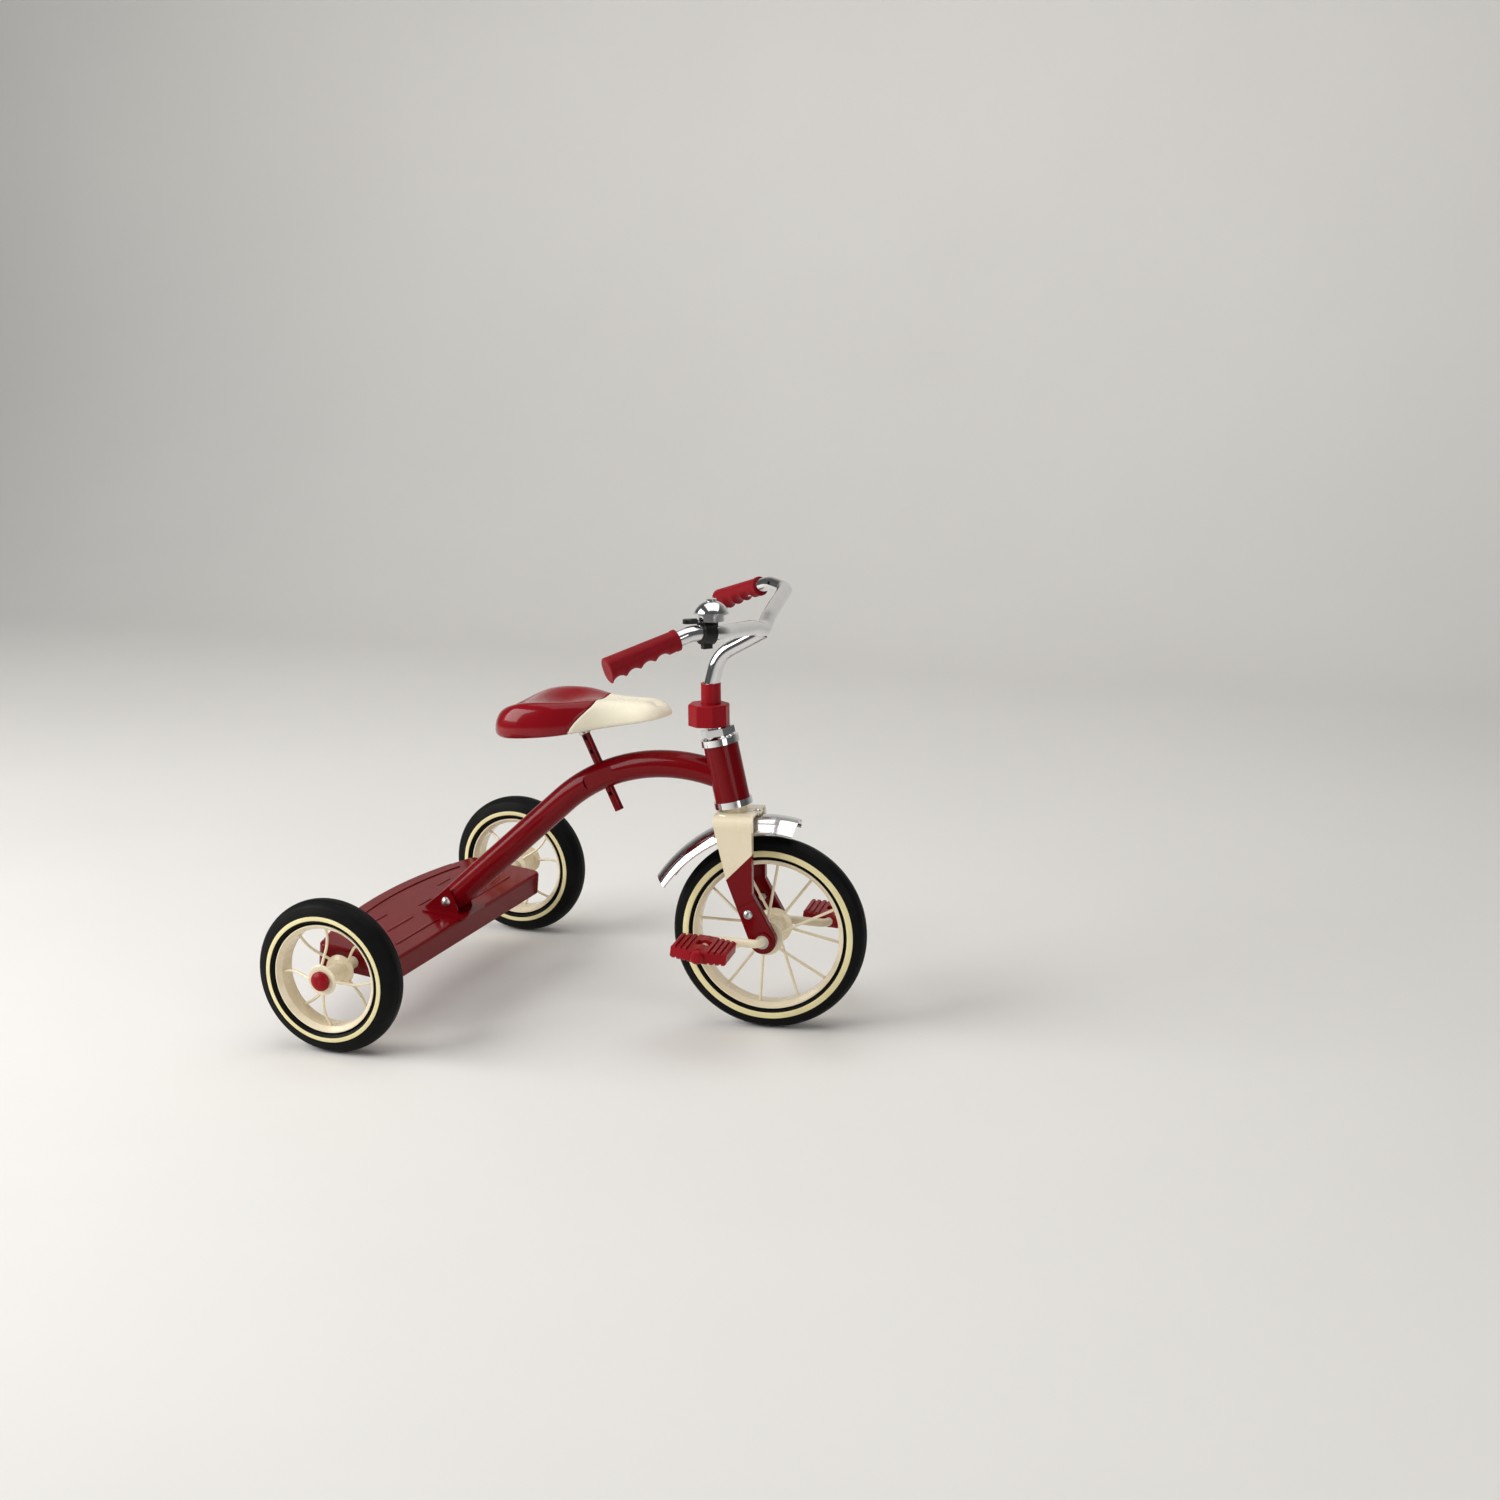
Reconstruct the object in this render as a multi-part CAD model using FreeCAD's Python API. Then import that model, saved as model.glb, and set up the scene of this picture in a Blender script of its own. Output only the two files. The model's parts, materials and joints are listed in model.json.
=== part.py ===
"""Children's tricycle: steel frame, direct-drive front wheel, two free rear wheels.

Millimetres. Every part is drawn in the chassis frame: X forward from the rear axle, Y to the rider's
left, Z up from the floor, handlebar straight ahead. The steering parts are then turned by STEER_REST
about the head axis, and everything is moved so that the origin is under the middle of the tricycle.
"""

import FreeCAD
import Part
import math
import os

# ---- driving dimensions ------------------------------------------------------------------------
REAR_AXLE_X = -261.0          # rear axle in the finished part's frame
WHEELBASE = 496.0
TRACK = 534.0                 # rear wheel centre to rear wheel centre
REAR_R = 101.1                # tyre radii: a 10 inch front wheel and 8 inch rear wheels
FRONT_R = 127.0
STEER_REST = 9.6              # the handlebar stands turned this far to the left
HEAD_LEAN = 11.8              # head tube leans back, degrees
HEAD_FOOT = (448.0, 301.4)    # X and Z of the head tube's lower end, on its axis
HEAD_LENGTH = 73.8

TUBE_R = 18.0                 # backbone tube
TUBE_WALL = 1.6
HEAD_R = 22.5
HEAD_BORE = 20.5
STEERER_R = 12.7
STEERER_BORE = 10.4
CUP_R = 25.0
SLIDING_GAP = 0.3             # between faces that move past each other
RUNNING_GAP = 0.05            # radial play of a shaft in its bush

AXLE_R = 5.0                  # rear axle
DECK_TILT = 6.4               # the step plate slopes down towards the front
DECK_TOP = 15.3               # above and below the rear axle, square to the plate
DECK_BOTTOM = -15.1
DECK_HALF = 213.0
DECK_FRONT = 60.0
DECK_REAR_MID = -83.0
DECK_REAR_SIDE = -56.0
SHEET = 1.6

BOLT_X = 32.0                 # frame bolt through bracket and backbone
BOLT_Z = 128.6
EAR_IN = 18.4
EAR_OUT = 20.9

POST_R = 6.0
POST_TOP = (240.3, 376.3)     # X and Z of two points on the seat post's axis
POST_END = (287.3, 273.8)

CRANK_R = 5.5
CRANK_THROW = 64.0
CRANK_ARM_Y = 62.0
CRANK_BEND = 9.5
CRANK_REST = 3.0              # the left crank points forward and this far down, degrees
SPINDLE_END = 147.0
PEDAL_Y = 107.0
PEDAL_HALF_Y = 35.0
PEDAL_HALF_X = 36.0
PEDAL_CORNER_Y = 28.5          # the ends bulge outwards from here to a short flat
PEDAL_FLAT_X = 10.0
PEDAL_HALF_Z = 8.5
PEDAL_TILT = 6.9

LEG_IN = 44.5                 # fork legs, inner and outer faces
LEG_OUT = 47.0
FORK_EDGE = 2.5
FORK_FLANGE_IN = 35.5
CROWN_TOP = 287.0
LEG_END_R = 17.0
HUB_BUSH_R = 9.0

FENDER_R = 155.5
FENDER_EDGE_R = 138.5
FENDER_HALF = 32.0
FENDER_SHEET = 1.2
FENDER_FRONT = 75.0           # angles round the front wheel from straight ahead
FENDER_TURN = 118.0           # behind this the fender flattens out
FENDER_TAIL_R = 215.0
FENDER_TAIL = 26.8

BAR_R = 9.5
BAR_WALL = 1.5
STEM_R = 9.9
GRIP_IN_R = 12.2
GRIP_OUT_R = 15.2
GRIP_LENGTH = 94.0
GRIP_END_WALL = 4.0

# centre line of the stem and of the left half of the bar, with the bend radius at each corner
STEM_TOP = (490.0, 0.0, 519.5)
BAR_POINTS = [(490.0, 0.0, 521.0), (487.0, 45.0, 532.0), (480.0, 196.0, 548.0), (452.0, 224.0, 551.5)]
BAR_BENDS = [60.0, 120.0, 30.0, 45.0]
BAR_END = (366.5, 293.0, 517.5)

UP = FreeCAD.Vector(0, 0, 1)
LEFT = FreeCAD.Vector(0, 1, 0)
FORWARD = FreeCAD.Vector(1, 0, 0)
HEAD_AXIS = FreeCAD.Vector(-math.sin(math.radians(HEAD_LEAN)), 0, math.cos(math.radians(HEAD_LEAN)))
REAR_CENTRE = FreeCAD.Vector(0, 0, REAR_R)
FRONT_CENTRE = FreeCAD.Vector(WHEELBASE, 0, FRONT_R)


def vec(x, y, z):
    return FreeCAD.Vector(x, y, z)


# ---- shape helpers -----------------------------------------------------------------------------
def rod(start, end, radius):
    """A round bar between two points."""
    run = end - start
    return Part.makeCylinder(radius, run.Length, start, run)


def pipe(start, end, outer, inner):
    return rod(start, end, outer).cut(rod(start, end, inner))


def cross_rod(x, z, y0, y1, radius):
    """A round bar across the tricycle."""
    return rod(vec(x, y0, z), vec(x, y1, z), radius)


def cross_ring(x, z, y0, y1, outer, inner):
    return cross_rod(x, z, y0, y1, outer).cut(cross_rod(x, z, y0, y1, inner))


def box(x0, x1, y0, y1, z0, z1):
    return Part.makeBox(x1 - x0, y1 - y0, z1 - z0, vec(x0, y0, z0))


def mirrored(shape):
    """The same part on the other side."""
    return shape.mirror(vec(0, 0, 0), LEFT)


def both_sides(shape):
    return Part.makeCompound([shape, mirrored(shape)])


def polygon_xz(points, y0, y1):
    """A plate whose outline lies in the X-Z plane, from y0 to y1."""
    wire = Part.makePolygon([vec(x, y0, z) for x, z in points + points[:1]])
    return Part.Face(wire).extrude(vec(0, y1 - y0, 0))


def spin_profile(points, centre):
    """A ring about the Y axis through centre, from points given as (offset along Y, radius).

    A point may be ("arc", through, end), which is an arc through two (offset, radius) pairs.
    """
    def at(pair):
        return vec(centre.x, centre.y + pair[0], centre.z + pair[1])

    edges = []
    here = at(points[0])
    for item in points[1:] + points[:1]:
        if item[0] == "arc":
            target = at(item[2])
            edges.append(Part.Arc(here, at(item[1]), target).toShape())
        else:
            target = at(item)
            if (target - here).Length < 1e-6:
                continue
            edges.append(Part.LineSegment(here, target).toShape())
        here = target
    face = Part.Face(Part.Wire(edges))
    return face.revolve(centre, LEFT, 360)


def bent_path(points, bends):
    """Straight runs joined by tangent arcs, one bend radius for each inner point."""
    edges = []
    start = points[0]
    for before, corner, after, radius in zip(points, points[1:], points[2:], bends):
        into = (corner - before).normalize()
        out = (after - corner).normalize()
        turn = into.getAngle(out)
        setback = radius * math.tan(turn / 2)
        first = corner - into * setback
        last = corner + out * setback
        inward = (out - into).normalize()
        middle = corner + inward * (radius / math.cos(turn / 2) - radius)
        if (first - start).Length > 1e-6:
            edges.append(Part.LineSegment(start, first).toShape())
        edges.append(Part.Arc(first, middle, last).toShape())
        start = last
    edges.append(Part.LineSegment(start, points[-1]).toShape())
    return Part.Wire(edges)


def swept_rod(path, start, direction, radius):
    """A round bar along a path that begins at start and heads along direction."""
    profile = Part.Wire([Part.makeCircle(radius, start, direction)])
    return path.makePipeShell([profile], True, False)


def swept_tube(points, bends, outer, inner):
    path = bent_path(points, bends)
    direction = points[1] - points[0]
    body = swept_rod(path, points[0], direction, outer)
    return body.cut(swept_rod(path, points[0], direction, inner))


def dome_bolt_head(centre, outward, radius, height):
    """A domed screw head whose flat side is at centre, facing outward."""
    ball_r = (radius * radius + height * height) / (2 * height)
    ball = Part.makeSphere(ball_r, centre + outward * (height - ball_r))
    return ball.common(Part.makeCylinder(radius, height, centre, outward))


def hex_prism(centre, axis, flats, height):
    """A hexagonal nut blank standing on centre."""
    corner = flats / math.sqrt(3)
    corners = [vec(corner * math.cos(math.radians(60 * k)), corner * math.sin(math.radians(60 * k)), 0)
               for k in range(7)]
    prism = Part.Face(Part.makePolygon(corners)).extrude(vec(0, 0, height))
    prism.Placement = FreeCAD.Placement(centre, FreeCAD.Rotation(UP, axis))
    return prism


def head_point(s):
    """A point on the head axis, s above the head tube's lower end."""
    return vec(HEAD_FOOT[0], 0, HEAD_FOOT[1]) + HEAD_AXIS * s


def head_ring(s0, s1, outer, inner):
    return pipe(head_point(s0), head_point(s1), outer, inner)


# ---- frame -------------------------------------------------------------------------------------
TUBE_SLOPE = math.radians(41.4)          # of the backbone's straight run
TUBE_POINT = (47.2, 140.6)               # X and Z of a point on that run


def tube_line(x):
    return vec(x, 0, TUBE_POINT[1] + (x - TUBE_POINT[0]) * math.tan(TUBE_SLOPE))


def backbone_points():
    """Straight run, one long arch and a short run into the head tube."""
    corner = tube_line(302.9)
    into_head = vec(440.0, 0, 329.6)
    return [tube_line(-20.0), corner, into_head], [239.0]


def deck_space(shape):
    """Tilts a shape drawn level, with the rear axle as its X and Z origin, into the deck's place."""
    shape.Placement = FreeCAD.Placement(REAR_CENTRE, FreeCAD.Rotation(LEFT, DECK_TILT))
    return shape


def above_deck(gap):
    """Everything over the step plate's top face plus a gap."""
    block = Part.makeBox(1200, 600, 600, vec(-500, -300, DECK_TOP + gap))
    return deck_space(block)


def post_point(t):
    """A point on the seat post's axis, t below its upper reference point."""
    top = vec(POST_TOP[0], 0, POST_TOP[1])
    return top + post_down() * t


def post_down():
    return (vec(POST_END[0], 0, POST_END[1]) - vec(POST_TOP[0], 0, POST_TOP[1])).normalize()


POST_CROSSING = 64.0                      # along the post, where it crosses the backbone's axis
FLAT_HALF = 15.6                          # the backbone is pressed flat here
FLAT_REACH = 24.0


def backbone_tube():
    points, bends = backbone_points()
    path = bent_path(points, bends)
    direction = points[1] - points[0]
    outer = swept_rod(path, points[0], direction, TUBE_R)
    inner = swept_rod(path, points[0], direction, TUBE_R - TUBE_WALL)
    core = Part.makeCylinder(FLAT_REACH, 80, post_point(POST_CROSSING) - LEFT * 40, LEFT)
    tube = outer.cut(inner.cut(core))
    for side in (-1, 1):
        press = Part.makeCylinder(FLAT_REACH, 20, post_point(POST_CROSSING) + LEFT * side * FLAT_HALF,
                                  LEFT * side)
        tube = tube.cut(press)
    tube = tube.cut(rod(post_point(20), post_point(110), POST_R + SLIDING_GAP))
    tube = tube.cut(seat_screw_bore())
    tube = tube.common(above_deck(BRACKET_SHEET + 0.1))
    tube = tube.cut(rod(head_point(-20), head_point(HEAD_LENGTH + 20), HEAD_R))
    return tube.cut(cross_rod(BOLT_X, BOLT_Z, -40, 40, FRAME_BOLT_R))


def head_tube():
    return head_ring(0, HEAD_LENGTH, HEAD_R, HEAD_BORE)


CUP_LIP = 8.5
CUP_INSERT = 9.0
CUP_BORE = 15.5


def headset_cup(s_face, away):
    """A pressed cup: a lip outside the head tube and a spigot inside it."""
    lip = head_ring(min(s_face, s_face + away * CUP_LIP), max(s_face, s_face + away * CUP_LIP),
                    CUP_R, CUP_BORE)
    spigot = head_ring(min(s_face, s_face - away * CUP_INSERT), max(s_face, s_face - away * CUP_INSERT),
                       HEAD_BORE, CUP_BORE)
    return lip.fuse(spigot).removeSplitter()


def lower_headset_cup():
    return headset_cup(0, -1)


def upper_headset_cup():
    return headset_cup(HEAD_LENGTH, 1)


def headset_bushes():
    lower = head_ring(-CUP_LIP, CUP_INSERT, CUP_BORE, STEERER_R + RUNNING_GAP)
    upper = head_ring(HEAD_LENGTH - CUP_INSERT, HEAD_LENGTH + CUP_LIP, CUP_BORE, STEERER_R + RUNNING_GAP)
    return Part.makeCompound([lower, upper])


CORNER_R = 14.0


def deck_outline(inset):
    """The step plate's plan outline, level, as a wire at Z = 0."""
    half = DECK_HALF - inset
    front = DECK_FRONT - inset
    rear = DECK_REAR_SIDE + inset
    mid = DECK_REAR_MID + inset
    r = CORNER_R - inset
    k = r * (1 - math.sqrt(0.5))

    def line(a, b):
        return Part.LineSegment(vec(*a, 0), vec(*b, 0)).toShape()

    def arc(a, m, b):
        return Part.Arc(vec(*a, 0), vec(*m, 0), vec(*b, 0)).toShape()

    return Part.Wire([
        line((front, -half + r), (front, half - r)),
        arc((front, half - r), (front - k, half - k), (front - r, half)),
        line((front - r, half), (rear + r, half)),
        arc((rear + r, half), (rear + k, half - k), (rear, half - r)),
        arc((rear, half - r), (mid, 0), (rear, -half + r)),
        arc((rear, -half + r), (rear + k, -half + k), (rear + r, -half)),
        line((rear + r, -half), (front - r, -half)),
        arc((front - r, -half), (front - k, -half + k), (front, -half + r)),
    ])


def deck_slab(inset, z0, z1):
    slab = Part.Face(deck_outline(inset)).extrude(vec(0, 0, z1 - z0))
    slab.translate(vec(0, 0, z0))
    return slab


BEADS = [(33.0, 50.0, 160.0), (0.0, 60.0, 124.0), (-33.0, 72.0, 104.0)]   # X, and the |Y| they span
BEAD_R = 3.2
BEAD_RISE = 1.3
LIP_INSET = 5.0
LIP_WIDTH = 15.0
LIP_RISE = 1.4


def deck_bead(x, y0, y1):
    """One pressed bead: a low half-round ridge along Y."""
    sink = DECK_TOP + BEAD_RISE - BEAD_R
    bar = rod(vec(x, y0, sink), vec(x, y1, sink), BEAD_R)
    ends = Part.makeSphere(BEAD_R, vec(x, y0, sink)).fuse(Part.makeSphere(BEAD_R, vec(x, y1, sink)))
    return bar.fuse(ends).common(Part.makeBox(20, 400, 10, vec(x - 10, (y0 + y1) / 2 - 200, DECK_TOP)))


def deck_rear_lip():
    """A raised band along the bowed rear edge."""
    band = deck_slab(LIP_INSET, DECK_TOP, DECK_TOP + LIP_RISE)
    inner = deck_slab(LIP_INSET, DECK_TOP - 1, DECK_TOP + LIP_RISE + 1)
    inner.translate(vec(LIP_WIDTH, 0, 0))
    band = band.cut(inner)
    return band.common(Part.makeBox(60, 320, 40, vec(-100, -160, 0)))


def rear_deck():
    outer = deck_slab(0, DECK_BOTTOM, DECK_TOP)
    rim = [e for e in outer.Edges if abs(e.BoundBox.ZMin - DECK_TOP) < 1e-6
           and abs(e.BoundBox.ZMax - DECK_TOP) < 1e-6]
    outer = outer.makeFillet(4.5, rim)
    deck = outer.cut(deck_slab(SHEET, DECK_BOTTOM - 1, DECK_TOP - SHEET))
    for x, y0, y1 in BEADS:
        bead = deck_bead(x, y0, y1)
        deck = deck.fuse(bead).fuse(mirrored(bead))
    deck = deck.fuse(deck_rear_lip())
    slot = Part.makeBox(3.4, 34, 5, vec(-14.7, -17, DECK_TOP - 0.9))
    deck = deck.cut(slot)
    axle_hole = Part.makeCylinder(AXLE_R, 600, vec(0, -300, 0), LEFT)
    deck = deck.cut(axle_hole)
    return deck_space(deck.removeSplitter())


BRACKET_SHEET = 2.5
FRAME_BOLT_R = 4.0
BRACKET_HALF = 34.0
EAR_R = 12.5


def deck_bracket():
    """A U bracket: a foot plate on the deck and an ear on each side of the backbone."""
    foot = Part.makeBox(66, 2 * BRACKET_HALF, BRACKET_SHEET, vec(-2, -BRACKET_HALF, DECK_TOP))
    foot = deck_space(foot.makeFillet(7.0, [e for e in foot.Edges if e.BoundBox.ZLength > BRACKET_SHEET - 0.1]))
    keep = above_deck(0)
    bracket = foot
    for side in (-1, 1):
        y0, y1 = sorted((side * EAR_IN, side * EAR_OUT))
        round_end = cross_rod(BOLT_X, BOLT_Z, y0, y1, EAR_R)
        gusset = polygon_xz([(0, 90), (0, 119.5), (36.0, 149.2), (44.0, 137.0), (50.0, 118.0), (50.0, 90)], y0, y1)
        bracket = bracket.fuse(round_end.fuse(gusset).common(keep))
    return bracket.cut(cross_rod(BOLT_X, BOLT_Z, -40, 40, FRAME_BOLT_R)).removeSplitter()


def frame_bolt():
    """The cross bolt with its dome head on the right and its nut on the left."""
    shank = cross_rod(BOLT_X, BOLT_Z, -EAR_OUT, EAR_OUT + 8, FRAME_BOLT_R)
    head = dome_bolt_head(vec(BOLT_X, -EAR_OUT, BOLT_Z), LEFT * -1, 7.0, 4.0)
    bolt = shank.fuse(head)
    nut = hex_prism(vec(BOLT_X, EAR_OUT, BOLT_Z), LEFT, 13.0, 6.0)
    nut = nut.cut(cross_rod(BOLT_X, BOLT_Z, 0, 60, FRAME_BOLT_R))
    return Part.makeCompound([bolt, nut])


AXLE_END = 295.0
REAR_HUB_IN = 244.0
REAR_HUB_OUT = 290.0


def rear_axle():
    return cross_rod(0, REAR_R, -AXLE_END, AXLE_END, AXLE_R)


def axle_spacers():
    tube = cross_ring(0, REAR_R, DECK_HALF, REAR_HUB_IN - BUSH_LIP - SLIDING_GAP, 8.0, AXLE_R)
    return both_sides(tube)


def axle_caps():
    """Domed caps pushed on the axle's ends outside the hubs."""
    start = REAR_HUB_OUT + BUSH_LIP + SLIDING_GAP
    centre = vec(0, start, REAR_R)
    cap = spin_profile([(0, AXLE_R), (0, 12.7), (3.0, 12.7), ("arc", (6.2, 9.2), (7.4, 0.001)),
                        (AXLE_END - start, 0.001), (AXLE_END - start, AXLE_R)], centre)
    return both_sides(cap)


SEAT_SCREW_T = 64.0
SEAT_SCREW_R = 2.8


def seat_screw_bore():
    at = post_point(SEAT_SCREW_T)
    return rod(at, at + LEFT * 40, SEAT_SCREW_R)


def seat_post_screw():
    """A clamp screw in the backbone's left flat that presses on the seat post."""
    at = post_point(SEAT_SCREW_T)
    shank = rod(at + LEFT * (POST_R + SLIDING_GAP), at + LEFT * FLAT_HALF, SEAT_SCREW_R)
    head = hex_prism(at + LEFT * FLAT_HALF, LEFT, 10.0, 5.0)
    return shank.fuse(head)


# ---- wheels ------------------------------------------------------------------------------------
BUSH_LIP = 1.5


RIM_SHEET = 1.5
RIM_LIP = 2.2


def tyre(radius, half, rim_half, edge_r, bead_r, centre):
    """A solid rubber tyre: rounded tread, bulging side walls and a foot that fills the rim's channel."""
    shoulder = radius - 0.28 * half
    foot = rim_half - RIM_LIP
    return spin_profile([
        (-rim_half * 0.62, bead_r),
        (-foot, edge_r),
        ("arc", (-half, (edge_r + shoulder) / 2), (-half * 0.84, shoulder)),
        ("arc", (0, radius), (half * 0.84, shoulder)),
        ("arc", (half, (edge_r + shoulder) / 2), (foot, edge_r)),
        (rim_half * 0.62, bead_r),
    ], centre)


def rim(half, edge_r, bead_r, centre):
    """A rolled steel rim: a channel with a lip on each edge."""
    lip = RIM_LIP
    return spin_profile([
        (-half, edge_r), (-half + lip, edge_r), (-half * 0.62, bead_r), (half * 0.62, bead_r),
        (half - lip, edge_r), (half, edge_r), (half, edge_r - RIM_SHEET),
        (half - lip * 0.6, edge_r - RIM_SHEET - 1.0),
        (half * 0.62 + 0.6, bead_r - RIM_SHEET), (-half * 0.62 - 0.6, bead_r - RIM_SHEET),
        (-half + lip * 0.6, edge_r - RIM_SHEET - 1.0), (-half, edge_r - RIM_SHEET),
    ], centre)


def hub_shell(half, flange_r, barrel_r, bore_r, sheet, centre):
    """A barrel with a spoke flange at each end."""
    return spin_profile([
        (-half, bore_r), (-half, flange_r - 1), (-half + 1, flange_r), (-half + sheet, flange_r),
        (-half + sheet + 3, barrel_r + 2), (-half + sheet + 7, barrel_r), (half - sheet - 7, barrel_r),
        (half - sheet - 3, barrel_r + 2), (half - sheet, flange_r), (half - 1, flange_r),
        (half, flange_r - 1), (half, bore_r),
    ], centre)


def spokes(count, start_angle, hub_y, hub_r, rim_y, rim_r, radius, centre):
    """Straight rods, alternately from the outer and the inner hub flange, to the rim."""
    rods = []
    for k in range(count):
        side = 1 if k % 2 == 0 else -1
        angle = math.radians(start_angle + 360.0 * k / count)
        ray = vec(math.cos(angle), 0, math.sin(angle))
        rods.append(rod(centre + ray * hub_r + LEFT * side * hub_y,
                        centre + ray * rim_r + LEFT * side * rim_y, radius))
    return rods


def cut_each(rods, *cutters):
    """Trims each rod flush to its neighbours and keeps the longest piece."""
    trimmed = []
    for piece in rods:
        for cutter in cutters:
            piece = piece.cut(cutter)
        trimmed.append(max(piece.Solids, key=lambda s: s.Volume))
    return Part.makeCompound(trimmed)


REAR_HALF = 20.0
REAR_EDGE_R = 71.4
REAR_BEAD_R = 66.5
REAR_RIM_HALF = 17.5
REAR_FLANGE_R = 20.0
REAR_BARREL_R = 12.5
REAR_SPOKE_R = 1.9


def rear_wheel(side):
    """The rolling pieces of one rear wheel; side is 1 for the left and -1 for the right."""
    centre = REAR_CENTRE + LEFT * side * TRACK / 2
    half = (REAR_HUB_OUT - REAR_HUB_IN) / 2
    shell = hub_shell(half, REAR_FLANGE_R, REAR_BARREL_R, HUB_BUSH_R, 2.0, centre)
    hoop = rim(REAR_RIM_HALF, REAR_EDGE_R, REAR_BEAD_R, centre)
    wires = spokes(8, 0.0, side * (half - 1.2), REAR_FLANGE_R - 3.0, side * 6.0, REAR_BEAD_R,
                   REAR_SPOKE_R, centre)
    bushes = []
    for end in (-1, 1):
        inner, outer = (half - 9.0) * end, (half + BUSH_LIP) * end
        barrel = cross_ring(0, REAR_R, *sorted((centre.y + inner, centre.y + half * end)),
                            HUB_BUSH_R, AXLE_R + RUNNING_GAP)
        lip = cross_ring(0, REAR_R, *sorted((centre.y + half * end, centre.y + outer)),
                         HUB_BUSH_R + 2.0, AXLE_R + RUNNING_GAP)
        bushes.append(barrel.fuse(lip).removeSplitter())
    return {
        "tyre": tyre(REAR_R, REAR_HALF, REAR_RIM_HALF, REAR_EDGE_R, REAR_BEAD_R, centre),
        "rim": hoop,
        "hub": shell,
        "spokes": cut_each(wires, hoop, shell),
        "hub_bushes": Part.makeCompound(bushes),
    }


FRONT_HALF = 19.0
FRONT_EDGE_R = 99.2
FRONT_BEAD_R = 94.2
FRONT_RIM_HALF = 16.5
FRONT_HUB_HALF = 31.0
FRONT_FLANGE_R = 23.5
FRONT_BARREL_R = 16.0
FRONT_SPOKE_R = 1.85


def front_wheel():
    shell = hub_shell(FRONT_HUB_HALF, FRONT_FLANGE_R, FRONT_BARREL_R, CRANK_R, 2.0, FRONT_CENTRE)
    hoop = rim(FRONT_RIM_HALF, FRONT_EDGE_R, FRONT_BEAD_R, FRONT_CENTRE)
    wires = spokes(12, -7.7, FRONT_HUB_HALF - 1.2, FRONT_FLANGE_R - 3.0, 6.0, FRONT_BEAD_R,
                   FRONT_SPOKE_R, FRONT_CENTRE)
    return {
        "front_tyre": tyre(FRONT_R, FRONT_HALF, FRONT_RIM_HALF, FRONT_EDGE_R, FRONT_BEAD_R, FRONT_CENTRE),
        "front_rim": hoop,
        "front_hub": shell,
        "front_spokes": cut_each(wires, hoop, shell),
    }


def crank_direction(side):
    """Unit vector from the axle to the pedal spindle on one side."""
    angle = math.radians(CRANK_REST)
    return vec(math.cos(angle), 0, -math.sin(angle)) * side


def crank_axle():
    """One bent rod: pedal spindle, arm, axle through the hub, arm, pedal spindle."""
    points = [FRONT_CENTRE + crank_direction(-1) * CRANK_THROW - LEFT * SPINDLE_END,
              FRONT_CENTRE + crank_direction(-1) * CRANK_THROW - LEFT * CRANK_ARM_Y,
              FRONT_CENTRE - LEFT * CRANK_ARM_Y,
              FRONT_CENTRE + LEFT * CRANK_ARM_Y,
              FRONT_CENTRE + crank_direction(1) * CRANK_THROW + LEFT * CRANK_ARM_Y,
              FRONT_CENTRE + crank_direction(1) * CRANK_THROW + LEFT * SPINDLE_END]
    return swept_rod(bent_path(points, [CRANK_BEND] * 4), points[0], LEFT, CRANK_R)


def spindle_centre(side):
    return FRONT_CENTRE + crank_direction(side) * CRANK_THROW


def pedal(side):
    """A moulded block with a bore for its spindle and a window through its middle."""
    c = spindle_centre(side)
    y0, y1 = sorted((side * (PEDAL_Y - PEDAL_HALF_Y), side * (PEDAL_Y + PEDAL_HALF_Y)))
    middle = 5.0
    mid = (y0 + y1) / 2
    c0, c1 = mid - PEDAL_CORNER_Y, mid + PEDAL_CORNER_Y
    outline = [vec(-PEDAL_HALF_X, c0, 0), vec(-PEDAL_FLAT_X, y0, 0), vec(PEDAL_FLAT_X, y0, 0), vec(PEDAL_HALF_X, c0, 0),
               vec(PEDAL_HALF_X, c1, 0), vec(PEDAL_FLAT_X, y1, 0), vec(-PEDAL_FLAT_X, y1, 0), vec(-PEDAL_HALF_X, c1, 0)]
    block = Part.Face(Part.makePolygon(outline + outline[:1])).extrude(vec(0, 0, 2 * PEDAL_HALF_Z))
    block.translate(vec(0, 0, -PEDAL_HALF_Z))
    block = block.makeChamfer(2.6, [e for e in block.Edges if e.BoundBox.ZLength < 1e-6])
    for k in (-4, -3, -2, 2, 3, 4):
        for z in (-PEDAL_HALF_Z, PEDAL_HALF_Z):
            groove = Part.makeBox(3.0, 90, 5.0, vec(k * 7.2 - 1.5, mid - 45, z - 2.5))
            block = block.cut(groove)
    window = Part.makeBox(18, 18, 40, vec(-9, mid - 9, -20))
    block = block.cut(window)
    barrel = Part.makeCylinder(PEDAL_HALF_Z + 1.2, y1 - y0 - 2 * middle, vec(0, y0 + middle, 0), LEFT)
    block = block.fuse(barrel.cut(window))
    block = block.cut(Part.makeCylinder(CRANK_R + RUNNING_GAP, 200, vec(0, mid - 100, 0), LEFT))
    block.Placement = FreeCAD.Placement(c, FreeCAD.Rotation(LEFT, PEDAL_TILT))
    return block.removeSplitter()


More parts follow.
